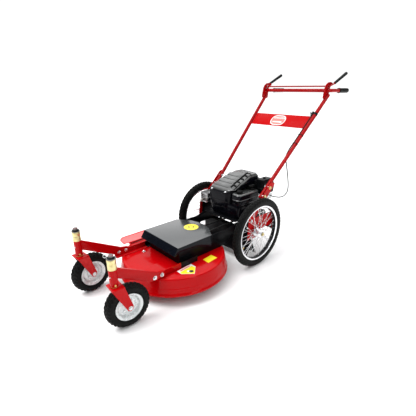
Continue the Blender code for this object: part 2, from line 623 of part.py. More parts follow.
def belt_loop(r1, r2, n=20):
    """Outline round two circles, r1 at the blade spindle and r2 at the crank."""
    lean = math.asin((r1 - r2) / span)
    out = []
    for k in range(n + 1):
        t = math.pi - lean + (math.pi + 2 * lean) * k / n
        out.append((r1 * math.cos(t), y1 + r1 * math.sin(t)))
    for k in range(n + 1):
        t = lean + (math.pi - 2 * lean) * k / n
        out.append((r2 * math.cos(t), y2 + r2 * math.sin(t)))
    return out


belt = slab("drive_belt", belt_loop(BLADE_PULLEY_R, ENGINE_PULLEY_R), BELT_LOW, BELT_TOP, "Z",
            holes=[belt_loop(BLADE_PULLEY_R - BELT_T, ENGINE_PULLEY_R - BELT_T)])
fit(belt, "rubber")

# clutch idler: an arm on a post, its roller just clear of the slack run
post_at = (*IDLER_POST, 0)
arm_axis = empty("idler_arm_axis", post_at, frame)
roller_at = (*IDLER_ROLLER, 0)
d = Vector((roller_at[0] - post_at[0], roller_at[1] - post_at[1], 0)).normalized()
nrm = Vector((-d.y, d.x, 0)) * 0.011
loop = []
for k in range(9):
    t = math.atan2(d.y, d.x) + math.pi / 2 + math.pi * k / 8
    loop.append((post_at[0] + 0.013 * math.cos(t), post_at[1] + 0.013 * math.sin(t)))
for k in range(9):
    t = math.atan2(d.y, d.x) - math.pi / 2 + math.pi * k / 8
    loop.append((roller_at[0] + 0.011 * math.cos(t), roller_at[1] + 0.011 * math.sin(t)))
arm = slab("idler_arm", loop, 0.2750, 0.2790, "Z", holes=[circle(post_at[0], post_at[1], 0.0075, 12)])
arm = union(arm, rod("pin", 0.0050, 0.2480, 0.2780, "Z", roller_at, 12))
fit(arm, "steel", arm_axis)
roll_axis = empty("idler_roller_axis", (roller_at[0] - post_at[0], roller_at[1] - post_at[1], 0), arm_axis)
roller = turned("idler_roller", [(0.0053, 0.2720), (0.0240, 0.2720), (0.0240, 0.2520), (0.0053, 0.2520)], "Z", roller_at, 20, True)
give(roller, "steel")
roller.matrix_world = Matrix.Translation(-Vector(roller_at)) @ roller.matrix_world
roller.parent = roll_axis
roller.matrix_parent_inverse = Matrix.Identity(4)
roller.data.shade_smooth()
roller.data.set_sharp_from_angle(angle=math.radians(35))

# ============================================================ handle
along = (Vector(HANDLE_TOP) - Vector(HANDLE_LOW)).normalized()


def on_handle(s, z):
    """Point of the handle tube's centre line at a height."""
    t = (z - HANDLE_LOW[2]) / along.z
    p = Vector(HANDLE_LOW) + along * t
    return Vector((s * p.x, p.y, p.z))


for name, s in SIDES:
    low, top = [Vector((s * p[0], p[1], p[2])) for p in (HANDLE_LOW, HANDLE_TOP)]
    t = tube("handle_tube_" + name, [low, top], HANDLE_R, 4)
    for y in HANDLE_BOLTS:
        t = cut(t, rod("hole", 0.0046, s * 0.24 - 0.05, s * 0.24 + 0.05, "X", (0, y, y + 0.402), 8))
    # welded to its inner side: the bracket that carries the handlebar and the control bail
    x0, x1 = sorted((s * 0.2870, s * 0.2930))
    t = union(t, slab("bracket", [
        (0.7060, 1.1560), (0.7140, 1.2000), (0.7210, 1.2320), (0.7370, 1.2540), (0.7620, 1.2680), (0.7950, 1.2720), (0.8280, 1.2660),
        (0.8330, 1.2540), (0.8080, 1.2450), (0.7960, 1.2300), (0.7900, 1.2100), (0.7880, 1.1800), (0.7910, 1.1650), (0.7840, 1.1480),
        (0.7400, 1.1380)], x0, x1, "X"))
    t = cut(t, rod("bar_hole", 0.0148, s * 0.29 - 0.02, s * 0.29 + 0.02, "X", (0, BAR_Y + 0.0006, BAR_Z), 20),
            rod("bail_hole", 0.0062, s * 0.29 - 0.02, s * 0.29 + 0.02, "X", (0, BAIL_Y, BAIL_Z), 12))
    fit(t, "red")

# panel between the tubes
mid = on_handle(1, 0.982)
tilt = Matrix.Rotation(math.radians(45), 4, "X")
panel = slab("handle_panel", [(-0.2545, -0.060), (0.2545, -0.060), (0.2620, 0.060), (-0.2620, 0.060)], -0.0015, 0.0015, "Z")
panel.matrix_world = Matrix.Translation((0, mid.y, mid.z)) @ tilt
fit(panel, "red", smooth=False)

# U-shaped handlebar
bend = []
for k in range(6):
    a = math.radians(90 * k / 5)
    bend.append((GRIP_X - BEND_R + BEND_R * math.cos(a), BAR_Y + BEND_R - BEND_R * math.sin(a), BAR_Z))
half_bar = [(GRIP_X, 1.0450, BAR_Z)] + bend
bar = tube("handlebar", half_bar + [(-x, y, z) for x, y, z in reversed(half_bar)], HANDLE_R, 3)
fit(bar, "red")
for name, s in SIDES:
    g = turned("grip_" + name, [
        (0, 1.0520), (0.0140, 1.0520), (0.0172, 1.0490), (0.0168, 0.9200), (0.0195, 0.9120), (0.0195, 0.9050),
        (0.0131, 0.9050), (0.0131, 1.0455), (0, 1.0455)], "Z", (0, 0, 0), 16)
    g.matrix_world = Matrix.Translation((s * GRIP_X, 0, BAR_Z)) @ Matrix.Rotation(math.radians(-90), 4, "X")
    fit(g, "rubber")

# control bail: one bent rod, both levers, in the brackets' upper holes
bail_axis = empty("control_bail_axis", (0, BAIL_Y, BAIL_Z), frame)
LEVER_X, LEVER_BASE, LEVER_TIP = 0.3085, (0.8260, 1.2625), (0.9990, 1.3378)
half_bail = [(LEVER_X, *LEVER_TIP), (LEVER_X, *LEVER_BASE), (LEVER_X - 0.0005, 0.8010, 1.2530), (LEVER_X - 0.0040, 0.7820, 1.2460),
             (LEVER_X - 0.0110, 0.7700, 1.2418), (LEVER_X - 0.0160, BAIL_Y, BAIL_Z)]
bail = tube("control_bail", half_bail + [(-x, y, z) for x, y, z in reversed(half_bail)], 0.0050, 2)
fit(bail, "red", bail_axis)
lever_dir = (Vector((0, *LEVER_TIP)) - Vector((0, *LEVER_BASE))).normalized()
lever_len = (Vector((0, *LEVER_TIP)) - Vector((0, *LEVER_BASE))).length
for name, s in SIDES:
    sl = turned("lever_sleeve_" + name, [
        (0, lever_len + 0.0040), (0.0065, lever_len + 0.0040), (0.0085, lever_len + 0.0015), (0.0085, 0.0020),
        (0.0054, 0.0020), (0.0054, lever_len + 0.0005), (0, lever_len + 0.0005)], "Z", (0, 0, 0), 14)
    sl.matrix_world = Matrix.Translation((s * LEVER_X, *LEVER_BASE)) @ lever_dir.to_track_quat("Z", "X").to_matrix().to_4x4()
    fit(sl, "rubber", bail_axis)

# throttle control on the left tube, and its cable to the carburettor
tb = on_handle(1, 1.039)
tbx = tb.x - HANDLE_R - 0.0108
tbox = box("throttle_box", (-0.0080, -0.020, -0.013), (0.0080, 0.020, 0.013), 0.0025)
tbox.matrix_world = Matrix.Translation((tbx, tb.y, tb.z)) @ tilt
fit(tbox, "black_plastic")
th_axis = empty("throttle_lever_axis", (tbx - 0.0100, tb.y, tb.z), frame)
u = Vector((0, -1, 1)).normalized()
v = Vector((0, 1, 1)).normalized()
out = []
for k in range(9):
    a = math.pi * k / 8
    p = -v * 0.008 * math.cos(a) - u * 0.008 * math.sin(a)
    out.append((tb.y + p.y, tb.z + p.z))
for w, h in ((0.0045, 0.022), (-0.0045, 0.022)):
    p = v * w + u * h
    out.append((tb.y + p.y, tb.z + p.z))
lever = slab("throttle_lever", out, tbx - 0.0118, tbx - 0.0083, "X")
fit(lever, "black_plastic", th_axis)



def beside(z):
    """The cable's place beside the tube: inward, and forward of the panel."""
    p = on_handle(1, z)
    return (p.x - 0.0170, p.y - 0.0053, p.z + 0.0053)


first = Vector((tb.x - 0.0210, tb.y, tb.z)) - v * 0.0204 + u * 0.0075
route = [tuple(first), beside(1.000), beside(0.955), beside(0.900), beside(0.840), beside(0.790),
         (0.2395, 0.352, 0.745), (0.2400, 0.368, 0.694), (0.2400, 0.392, 0.620), (0.2400, 0.412, 0.550), (0.2400, 0.421, 0.492),
         (0.2395, 0.408, 0.455), (0.2370, 0.375, 0.435), (0.2310, 0.330, 0.433), (0.2230, 0.285, 0.443), (0.2190, 0.258, 0.452),
         (0.2140, 0.2450, 0.4575), (0.2055, 0.2385, 0.4600)]
cable = tube("throttle_cable", smooth_route(route, 0.022), 0.0030, 2)
fit(cable, "rubber")

# ============================================================ discharge deflector
flap_axis = empty("deflector_axis", (HINGE_X, 0, HINGE_Z), frame)
flap = slab("discharge_deflector", [(-0.0915, -0.6900), (-0.0760, -0.7220), (-0.0480, -0.7420), (-0.0060, -0.7440), (-0.0060, -0.7150),
                                    (-0.0035, -0.7150), (-0.0035, -0.6965), (0.0, -0.6965), (0.0, -0.5435), (-0.0060, -0.5435),
                                    (-0.0060, -0.5000), (-0.0915, -0.5000)], -0.0015, 0.0015, "Z")
flap = union(flap, rod("knuckle", 0.0062, -0.6965, -0.5435, "Y", (0, 0, 0), 14))
flap = cut(flap, rod("bore", 0.0034, -0.80, -0.45, "Y", (0, 0, 0), 12),
           box("lug_room_a", (-0.0090, -0.7100, -0.01), (0.02, -0.6965, 0.01)),
           box("lug_room_b", (-0.0090, -0.5435, -0.01), (0.02, -0.5320, 0.01)))
flap.matrix_world = Matrix.Translation((HINGE_X, 0, HINGE_Z)) @ Matrix.Rotation(math.radians(8), 4, "Y")
fit(flap, "red", flap_axis, smooth=False)

bpy.context.view_layer.update()
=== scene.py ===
"""Walk-behind brush mower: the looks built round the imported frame. Metres, +Z up."""
import math

import bmesh
import bpy
import numpy as np
from mathutils import Matrix, Vector


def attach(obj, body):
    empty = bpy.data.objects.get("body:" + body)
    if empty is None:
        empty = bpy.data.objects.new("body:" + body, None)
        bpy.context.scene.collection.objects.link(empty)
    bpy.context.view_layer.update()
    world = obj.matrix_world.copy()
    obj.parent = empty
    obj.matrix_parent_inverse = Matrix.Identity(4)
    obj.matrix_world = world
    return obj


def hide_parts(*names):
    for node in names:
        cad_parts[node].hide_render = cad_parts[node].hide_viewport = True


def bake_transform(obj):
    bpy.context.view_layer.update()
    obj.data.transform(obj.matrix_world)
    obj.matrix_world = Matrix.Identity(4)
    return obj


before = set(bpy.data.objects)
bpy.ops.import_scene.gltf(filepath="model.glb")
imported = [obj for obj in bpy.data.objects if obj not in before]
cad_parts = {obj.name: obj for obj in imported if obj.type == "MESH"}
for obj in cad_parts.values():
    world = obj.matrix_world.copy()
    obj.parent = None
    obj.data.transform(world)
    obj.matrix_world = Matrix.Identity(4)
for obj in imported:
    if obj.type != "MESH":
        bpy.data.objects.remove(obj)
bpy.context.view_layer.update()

scene = bpy.context.scene
OFF = Vector((0.0, 0.041, 0.0))          # the hub line's middle in the row frame
SIDES = (("left", 1.0), ("right", -1.0))

# ============================================================ camera
az, el = 0.8213392837067038, 0.3591824621689665
eye = Vector((1.5697873766578079, -1.6786338305333997 + 0.041, 1.223448651294334))
right = Vector((math.cos(az), math.sin(az), 0))
back = Vector((math.sin(az) * math.cos(el), -math.cos(az) * math.cos(el), math.sin(el)))
m = Matrix((right, back.cross(right), back)).transposed().to_4x4()
m.translation = eye
cam = bpy.data.objects.new("camera", bpy.data.cameras.new("camera"))
cam.data.sensor_width = 36
cam.data.lens = 317.8438872727228 / 416 * 36
cam.data.clip_start = 0.05
scene.collection.objects.link(cam)
cam.matrix_world = m
scene.camera = cam

# ============================================================ light
world = bpy.data.worlds.new("studio")
scene.world = world
world.use_nodes = True
wn, wl = world.node_tree.nodes, world.node_tree.links
wn.clear()
w_out = wn.new("ShaderNodeOutputWorld")
w_bg = wn.new("ShaderNodeBackground")          # white backdrop
w_bg.inputs["Color"].default_value = (1.0, 1.0, 1.0, 1)
w_bg.inputs["Strength"].default_value = 1.1
w_soft = wn.new("ShaderNodeBackground")        # overhead soft box and one bright wall in a dim room
w_tc = wn.new("ShaderNodeTexCoord")
w_sep = wn.new("ShaderNodeSeparateXYZ")
wl.new(w_tc.outputs["Generated"], w_sep.inputs[0])


def tone(stops, value):
    r = wn.new("ShaderNodeValToRGB")
    e = r.color_ramp.elements
    while len(e) < len(stops):
        e.new(0.5)
    for k, (at, level) in enumerate(stops):
        e[k].position = at
        e[k].color = (level, level, level * 1.01, 1)
    wl.new(value, r.inputs["Fac"])
    return r.outputs["Color"]


w_dot = wn.new("ShaderNodeVectorMath")
w_dot.operation = "DOT_PRODUCT"
w_dot.inputs[1].default_value = (-0.60, 0.60, 0.53)
wl.new(w_tc.outputs["Generated"], w_dot.inputs[0])
w_sum = wn.new("ShaderNodeMix")
w_sum.data_type = "RGBA"
w_sum.blend_type = "ADD"
w_sum.inputs["Factor"].default_value = 1.0
wl.new(tone(((0.0, 0.06), (0.30, 0.10), (0.52, 0.22), (0.70, 1.00), (1.0, 1.00)), w_sep.outputs["Z"]), w_sum.inputs["A"])
wl.new(tone(((0.0, 0.0), (0.55, 0.0), (0.78, 0.50), (0.92, 0.80), (1.0, 0.80)), w_dot.outputs["Value"]), w_sum.inputs["B"])
wl.new(w_sum.outputs["Result"], w_soft.inputs["Color"])
w_soft.inputs["Strength"].default_value = 1.35
w_path = wn.new("ShaderNodeLightPath")
w_mix = wn.new("ShaderNodeMixShader")
wl.new(w_path.outputs["Is Camera Ray"], w_mix.inputs[0])
wl.new(w_soft.outputs[0], w_mix.inputs[1])
wl.new(w_bg.outputs[0], w_mix.inputs[2])
wl.new(w_mix.outputs[0], w_out.inputs[0])
scene.view_settings.view_transform = "Standard"
sun = bpy.data.objects.new("sun", bpy.data.lights.new("sun", "SUN"))
sun.data.energy = 1.3
sun.data.angle = math.radians(34)
sun.rotation_euler = (math.radians(24), math.radians(-16), 0)
scene.collection.objects.link(sun)


def area(name, loc, at, size, power):
    d = bpy.data.lights.new(name, "AREA")
    d.shape = "RECTANGLE"
    d.size, d.size_y = size
    d.energy = power
    o = bpy.data.objects.new(name, d)
    o.location = loc
    o.rotation_euler = (Vector(at) - Vector(loc)).to_track_quat("-Z", "Y").to_euler()
    scene.collection.objects.link(o)
    return o


area("key", (-1.2, -2.6, 3.2), (0, -0.3, 0.3), (1.6, 1.6), 45)
area("side", (3.4, -0.4, 1.9), (0, -0.2, 0.4), (0.7, 2.2), 22)

# ============================================================ materials


def surface(name, base, rough, metal=0.0, coat=0.0, coat_rough=0.06, vary=0.10, scale=9.0, grain=0.0, grain_scale=600.0,
            ripple=0.0, edge_wear_and_glint=None, spec=0.5, tint=None, streak=None):
    """Principled surface with mottled colour, uneven roughness, grain or orange-peel bump, and a lighter colour in
    spots on sharp edges: real wear on some finishes, painted glints on the tyre.
    """
    mt = bpy.data.materials.new(name)
    mt.use_nodes = True
    nt = mt.node_tree
    n, l = nt.nodes, nt.links
    p = n["Principled BSDF"]
    p.inputs["Metallic"].default_value = metal
    p.inputs["Coat Weight"].default_value = coat
    p.inputs["Coat Roughness"].default_value = coat_rough
    p.inputs["Specular IOR Level"].default_value = spec
    tc = n.new("ShaderNodeTexCoord")
    big = n.new("ShaderNodeTexNoise")
    big.inputs["Scale"].default_value = scale
    big.inputs["Detail"].default_value = 5
    l.new(tc.outputs["Object"], big.inputs["Vector"])
    ramp = n.new("ShaderNodeValToRGB")
    dark = [c * (1 - vary) for c in base]
    light = list(tint) if tint else [min(1, c * (1 + vary)) for c in base]
    ramp.color_ramp.elements[0].position = 0.30
    ramp.color_ramp.elements[1].position = 0.72
    ramp.color_ramp.elements[0].color = (*dark, 1)
    ramp.color_ramp.elements[1].color = (*light, 1)
    l.new(big.outputs["Fac"], ramp.inputs["Fac"])
    colour = ramp.outputs["Color"]
    if streak:
        mp = n.new("ShaderNodeMapping")
        mp.inputs["Scale"].default_value = streak
        l.new(tc.outputs["Object"], mp.inputs["Vector"])
        st = n.new("ShaderNodeTexNoise")
        st.inputs["Scale"].default_value = 1.0
        st.inputs["Detail"].default_value = 3
        l.new(mp.outputs[0], st.inputs["Vector"])
        mx = n.new("ShaderNodeMix")
        mx.data_type = "RGBA"
        mx.blend_type = "MULTIPLY"
        mx.inputs["Factor"].default_value = 0.35
        l.new(colour, mx.inputs["A"])
        l.new(st.outputs["Color"], mx.inputs["B"])
        colour = mx.outputs["Result"]
    # lighter colour on sharp edges: worn edges on the blade, painted glints on the tyre tread
    if edge_wear_and_glint:
        geo = n.new("ShaderNodeNewGeometry")
        edge = n.new("ShaderNodeValToRGB")
        edge.color_ramp.elements[0].position = 0.55
        edge.color_ramp.elements[1].position = 0.66
        l.new(geo.outputs["Pointiness"], edge.inputs["Fac"])
        spot = n.new("ShaderNodeTexNoise")
        spot.inputs["Scale"].default_value = 45
        l.new(tc.outputs["Object"], spot.inputs["Vector"])
        gate = n.new("ShaderNodeMath")
        gate.operation = "MULTIPLY"
        l.new(edge.outputs["Color"], gate.inputs[0])
        l.new(spot.outputs["Fac"], gate.inputs[1])
        mx = n.new("ShaderNodeMix")
        mx.data_type = "RGBA"
        l.new(gate.outputs[0], mx.inputs["Factor"])
        l.new(colour, mx.inputs["A"])
        mx.inputs["B"].default_value = (*edge_wear_and_glint, 1)
        colour = mx.outputs["Result"]
    l.new(colour, p.inputs["Base Color"])
    fine = n.new("ShaderNodeTexNoise")
    fine.inputs["Scale"].default_value = scale * 4
    fine.inputs["Detail"].default_value = 4
    l.new(tc.outputs["Object"], fine.inputs["Vector"])
    rr = n.new("ShaderNodeMapRange")
    rr.inputs["To Min"].default_value = rough * 0.75
    rr.inputs["To Max"].default_value = min(1.0, rough * 1.30)
    l.new(fine.outputs["Fac"], rr.inputs["Value"])
    l.new(rr.outputs["Result"], p.inputs["Roughness"])
    height = None
    if grain:
        g = n.new("ShaderNodeTexNoise")
        g.inputs["Scale"].default_value = grain_scale
        g.inputs["Detail"].default_value = 3
        l.new(tc.outputs["Object"], g.inputs["Vector"])
        b = n.new("ShaderNodeBump")
        b.inputs["Strength"].default_value = grain
        b.inputs["Distance"].default_value = 0.0006
        l.new(g.outputs["Fac"], b.inputs["Height"])
        height = b
    if ripple:
        g = n.new("ShaderNodeTexNoise")
        g.inputs["Scale"].default_value = 55
        g.inputs["Detail"].default_value = 1
        l.new(tc.outputs["Object"], g.inputs["Vector"])
        b = n.new("ShaderNodeBump")
        b.inputs["Strength"].default_value = ripple
        b.inputs["Distance"].default_value = 0.0012
        l.new(g.outputs["Fac"], b.inputs["Height"])
        if height:
            l.new(height.outputs["Normal"], b.inputs["Normal"])
        height = b
    if height:
        l.new(height.outputs["Normal"], p.inputs["Normal"])
    return mt


RED = surface("red_enamel", (0.43, 0.001, 0.0025), 0.20, coat=0.12, vary=0.05, scale=3, ripple=0.04, edge_wear_and_glint=(0.70, 0.04, 0.04), spec=0.06)
# darker copy of the red enamel for the handle tubes, handlebar and bail: painted shade
RED_TUBE_SHADED = surface("red_enamel_tube_painted_shade", (0.32, 0.0008, 0.002), 0.22, coat=0.16, vary=0.05, scale=3, ripple=0.04, edge_wear_and_glint=(0.55, 0.03, 0.03), spec=0.05)
PANEL_RED = surface("red_enamel_panel", (0.47, 0.001, 0.002), 0.34, coat=0.03, vary=0.05, scale=3, ripple=0.04, spec=0.03)
# paler red for the deflector plate: painted reflection of the lamps on its face
FLAP_SHEEN_RED = surface("flap_red_painted_reflection", (0.74, 0.06, 0.06), 0.22, coat=0.6, vary=0.06, scale=5, ripple=0.05)
BLACK = surface("black_enamel", (0.002, 0.003, 0.006), 0.20, coat=0.06, coat_rough=0.08, vary=0.2, scale=4, ripple=0.05, edge_wear_and_glint=(0.06, 0.06, 0.07), spec=0.1)
# lighter copy of the black enamel for the belt cover's top: painted sheen
BLACK_LIT_TOP = surface("black_enamel_painted_sheen_top", (0.036, 0.04, 0.041), 0.22, coat=0.55, coat_rough=0.10, vary=0.10, scale=3, ripple=0.05, spec=0.5)
FRAME_BLACK = surface("black_frame_enamel", (0.002, 0.0022, 0.003), 0.34, coat=0.02, vary=0.3, scale=8, ripple=0.08, edge_wear_and_glint=(0.04, 0.04, 0.045), spec=0.08)
SHELL = surface("engine_shell", (0.0018, 0.002, 0.004), 0.22, coat=0.05, coat_rough=0.10, vary=0.3, scale=8, grain=0.10, grain_scale=900, edge_wear_and_glint=(0.04, 0.04, 0.045), spec=0.08)
# lighter copy of the shell plastic for the engine shell's and tank's tops: painted sheen
SHELL_LIT_TOP = surface("engine_shell_painted_sheen_top", (0.05, 0.053, 0.052), 0.20, coat=0.6, coat_rough=0.08, vary=0.3, scale=10, grain=0.10, grain_scale=900, spec=0.5)
MOULD = surface("moulded_black", (0.0025, 0.003, 0.003), 0.36, spec=0.12, vary=0.3, scale=12, grain=0.45, grain_scale=1100)
CLEANER = surface("cleaner_black", (0.0025, 0.003, 0.0035), 0.30, spec=0.1, vary=0.3, scale=12, grain=0.3, grain_scale=900)
# painted glints: a lighter colour on the tread blocks' sharp edges
TREAD_GLINT = (0.060, 0.064, 0.060)
RUBBER = surface("tyre_rubber", (0.0030, 0.0034, 0.0034), 0.46, vary=0.35, scale=22, grain=0.3, grain_scale=700, spec=0.08, tint=(0.0065, 0.0066, 0.0062), edge_wear_and_glint=TREAD_GLINT)
GRIP = surface("grip_rubber", (0.003, 0.0045, 0.004), 0.40, vary=0.3, scale=30, grain=0.4, grain_scale=900, spec=0.12)
SHEATH = surface("cable_sheath", (0.004, 0.005, 0.006), 0.42, vary=0.2, scale=30, spec=0.12)
BELT = surface("belt_rubber", (0.014, 0.014, 0.014), 0.7, vary=0.3, scale=30, grain=0.6, grain_scale=500, spec=0.25)
CHROME = surface("bright_chrome", (0.80, 0.81, 0.83), 0.13, metal=1.0, vary=0.06, scale=14, ripple=0.05)
RIM_SILVER = surface("silver_rim_paint", (0.66, 0.69, 0.69), 0.26, metal=0.3, coat=0.3, vary=0.05, scale=10, grain=0.03, grain_scale=1400)
ZINC = surface("yellow_zinc", (0.66, 0.52, 0.19), 0.30, metal=0.85, vary=0.18, scale=34, tint=(0.86, 0.78, 0.44), grain=0.15)
BRIGHT_ZINC = surface("bright_zinc", (0.72, 0.73, 0.74), 0.26, metal=0.9, vary=0.10, scale=40, grain=0.2)
STEEL = surface("turned_steel", (0.46, 0.46, 0.47), 0.34, metal=1.0, vary=0.14, scale=18, grain=0.15, streak=(8, 8, 260))
BLADE = surface("blade_steel", (0.17, 0.16, 0.155), 0.42, metal=0.85, vary=0.3, scale=16, grain=0.35, edge_wear_and_glint=(0.6, 0.6, 0.6))
SPOKE = surface("spoke_steel", (0.74, 0.74, 0.75), 0.20, metal=1.0, vary=0.06, scale=30)
BED = surface("rim_bed_shade", (0.035, 0.035, 0.038), 0.35, metal=0.9, vary=0.1, scale=20)
# lighter copy of the black enamel for the cover's sloping sides: painted light
BLACK_LIT_SIDE = surface("black_enamel_painted_light_side", (0.020, 0.023, 0.023), 0.26, coat=0.10, coat_rough=0.1, vary=0.15, scale=4, ripple=0.05, spec=0.12)
BASE_BLACK = surface("painted_casting", (0.003, 0.003, 0.0034), 0.42, vary=0.3, scale=18, grain=0.4, grain_scale=400, spec=0.1)
STAINLESS = surface("guard_steel", (0.52, 0.52, 0.53), 0.28, metal=0.95, vary=0.12, scale=22, grain=0.2)
CAST = surface("cast_aluminium", (0.50, 0.50, 0.51), 0.50, metal=0.9, vary=0.14, scale=30, grain=0.6, grain_scale=450)
DULL = surface("heat_dulled_sheet", (0.20, 0.19, 0.185), 0.48, metal=0.8, vary=0.25, scale=14, grain=0.3, tint=(0.34, 0.30, 0.26))
YELLOW = surface("yellow_film", (0.86, 0.70, 0.02), 0.35, coat=0.3, vary=0.05, scale=30)
WHITE_FILM = surface("white_film", (0.80, 0.80, 0.78), 0.35, coat=0.3, vary=0.05, scale=30)
PINK_FILM = surface("pale_red_film", (0.80, 0.16, 0.13), 0.35, coat=0.3, vary=0.08, scale=30)
# dark film: print on the decals, and painted shade in the muffler's openings and the throttle slot
DARK_FILM_AND_SHADE = surface("dark_film_and_painted_shade", (0.03, 0.03, 0.03), 0.4, coat=0.2, vary=0.1, scale=30)
BRASS = surface("brass", (0.62, 0.42, 0.14), 0.30, metal=1.0, vary=0.14, scale=30)

# ============================================================ mesh tools


def make(name, verts, faces, material, sharp=35.0, smooth=True):
    me = bpy.data.meshes.new(name)
    me.from_pydata([tuple(v) for v in verts], [], [tuple(int(i) for i in f) for f in faces])
    bm = bmesh.new()
    bm.from_mesh(me)
    bmesh.ops.recalc_face_normals(bm, faces=bm.faces)
    bm.to_mesh(me)
    bm.free()
    return finish(name, me, material, sharp, smooth)


def finish(name, me, material, sharp=35.0, smooth=True):
    if smooth:
        me.shade_smooth()
        me.set_sharp_from_angle(angle=math.radians(sharp))
    ob = bpy.data.objects.new(name, me)
    scene.collection.objects.link(ob)
    me.materials.clear()
    me.materials.append(material)
    return ob


def turn(axis):
    """Matrix taking (a, b, along) of a lathe to the row's axes."""
    return {"Z": Matrix.Identity(3), "X": Matrix(((0, 0, 1), (1, 0, 0), (0, 1, 0))), "Y": Matrix(((0, 1, 0), (0, 0, 1), (1, 0, 0)))}[axis]


def lathe(name, loop, axis, loc, material, steps=64, sharp=35.0, shape=None, closed=True):
    """Revolve a loop of (radius, along). shape(angle, index) returns a radial and along offset."""
    rot = turn(axis) if isinstance(axis, str) else axis
    loc = Vector(loc) + OFF
    n = len(loop)
    verts, faces = [], []
    for i in range(steps):
        t = 2 * math.pi * i / steps
        c, s = math.cos(t), math.sin(t)
        for j, (r, h) in enumerate(loop):
            if shape:
                dr, dh = shape(t, j)
                r, h = r + dr, h + dh
            verts.append(loc + rot @ Vector((r * c, r * s, h)))
    for i in range(steps):
        k = (i + 1) % steps
        for j in range(n if closed else n - 1):
            q = (j + 1) % n
            faces.append((i * n + j, k * n + j, k * n + q, i * n + q))
    if not closed:
        for j in (0, n - 1):
            if loop[j][0] < 1e-6:
                continue
            faces.append([i * n + j for i in range(steps)])
    ob = make(name, verts, faces, material, sharp)
    bm = bmesh.new()
    bm.from_mesh(ob.data)
    bmesh.ops.remove_doubles(bm, verts=bm.verts, dist=1e-6)
    bmesh.ops.recalc_face_normals(bm, faces=bm.faces)
    bm.to_mesh(ob.data)
    bm.free()
    ob.data.set_sharp_from_angle(angle=math.radians(sharp))
    return ob


def soften(ob, width, seg=2, angle=32.0):
    b = ob.modifiers.new("edges", "BEVEL")
    b.width = width
    b.segments = seg
    b.limit_method = "ANGLE"
    b.angle_limit = math.radians(angle)
    b.use_clamp_overlap = True
    b.harden_normals = False
    return ob


def bake(ob):
    deps = bpy.context.evaluated_depsgraph_get()
    me = bpy.data.meshes.new_from_object(ob.evaluated_get(deps))
    ob.modifiers.clear()
    ob.data = me
    me.shade_smooth()
    me.set_sharp_from_angle(angle=math.radians(32))
    return ob


def prism(name, outline, lo, hi, plane, material, edge=0.0008, seg=2, at=(0, 0, 0), rot=None, offset=True):
    """Extruded outline with rounded edges. Planes: Z gives (x, y), X gives (y, z), Y gives (x, z)."""
    order = {"Z": lambda a, b, h: (a, b, h), "X": lambda a, b, h: (h, a, b), "Y": lambda a, b, h: (a, h, b)}[plane]
    n = len(outline)
    verts = [Vector(order(a, b, lo)) for a, b in outline] + [Vector(order(a, b, hi)) for a, b in outline]
    faces = [list(range(n)), list(range(n, 2 * n))] + [(i, (i + 1) % n, n + (i + 1) % n, n + i) for i in range(n)]
    if rot is not None:
        verts = [rot @ v for v in verts]
    shift = Vector(at) + (OFF if offset else Vector((0, 0, 0)))
    ob = make(name, [v + shift for v in verts], faces, material)
    if edge:
        soften(ob, edge, seg)
        bake(ob)
    return ob


def box(name, lo, hi, material, edge=0.001, seg=2, rot=None, at=(0, 0, 0)):
    return prism(name, [(lo[0], lo[1]), (hi[0], lo[1]), (hi[0], hi[1]), (lo[0], hi[1])], lo[2], hi[2], "Z", material, edge, seg, at, rot)


def catmull(points, step=0.006):
    pts = [Vector(p) for p in points]
    pts = [pts[0] * 2 - pts[1]] + pts + [pts[-1] * 2 - pts[-2]]
    out = []
    for i in range(1, len(pts) - 2):
        a, b, c, d = pts[i - 1:i + 3]
        n = max(1, int(round((c - b).length / step)))
        for k in range(n):
            t = k / n
            out.append(0.5 * ((2 * b) + (c - a) * t + (2 * a - 5 * b + 4 * c - d) * t * t + (3 * b - a - 3 * c + d) * t ** 3))
    out.append(pts[-2])
    return out


def sweep(name, points, radius, material, sides=16, offset=True, caps=True, sharp=50.0):
    """Tube along points; radius is a number or a function of the point's index and the count."""
    pts = [Vector(p) + (OFF if offset else Vector((0, 0, 0))) for p in points]
    n = len(pts)
    verts, faces = [], []
    t0 = (pts[1] - pts[0]).normalized()
    up = Vector((0, 0, 1)) if abs(t0.z) < 0.9 else Vector((0, 1, 0))
    u = (up - t0 * up.dot(t0)).normalized()
    for i, p in enumerate(pts):
        t = (pts[min(i + 1, n - 1)] - pts[max(i - 1, 0)]).normalized()
        u = (u - t * u.dot(t)).normalized()
        w = t.cross(u)
        r = radius(i, n) if callable(radius) else radius
        for k in range(sides):
            a = 2 * math.pi * k / sides
            verts.append(p + (u * math.cos(a) + w * math.sin(a)) * r)
    for i in range(n - 1):
        for k in range(sides):
            q = (k + 1) % sides
            faces.append((i * sides + k, i * sides + q, (i + 1) * sides + q, (i + 1) * sides + k))
    if caps:
        faces += [list(range(sides)), list(range((n - 1) * sides, n * sides))]
    return make(name, verts, faces, material, sharp)


def merge(name, parts):
    """One object of several, keeping each one's material."""
    me = bpy.data.meshes.new(name)
    bm = bmesh.new()
    mats = []
    for ob in parts:
        index = []
        for mt in ob.data.materials:
            if mt not in mats:
                mats.append(mt)
            index.append(mats.index(mt))
        tmp = ob.data.copy()
        tmp.transform(ob.matrix_world)
        first = len(bm.faces)
        bm.from_mesh(tmp)
        bm.faces.ensure_lookup_table()
        for f in bm.faces[first:]:
            f.material_index = index[f.material_index] if index else 0
        bpy.data.meshes.remove(tmp)
    bm.to_mesh(me)
    bm.free()
    for mt in mats:
        me.materials.append(mt)
    for ob in parts:
        old = ob.data
        bpy.data.objects.remove(ob)
        bpy.data.meshes.remove(old)
    ob = bpy.data.objects.new(name, me)
    scene.collection.objects.link(ob)
    return ob


def frame_of(direction):
    return Vector(direction).normalized().to_track_quat("Z", "Y").to_matrix()


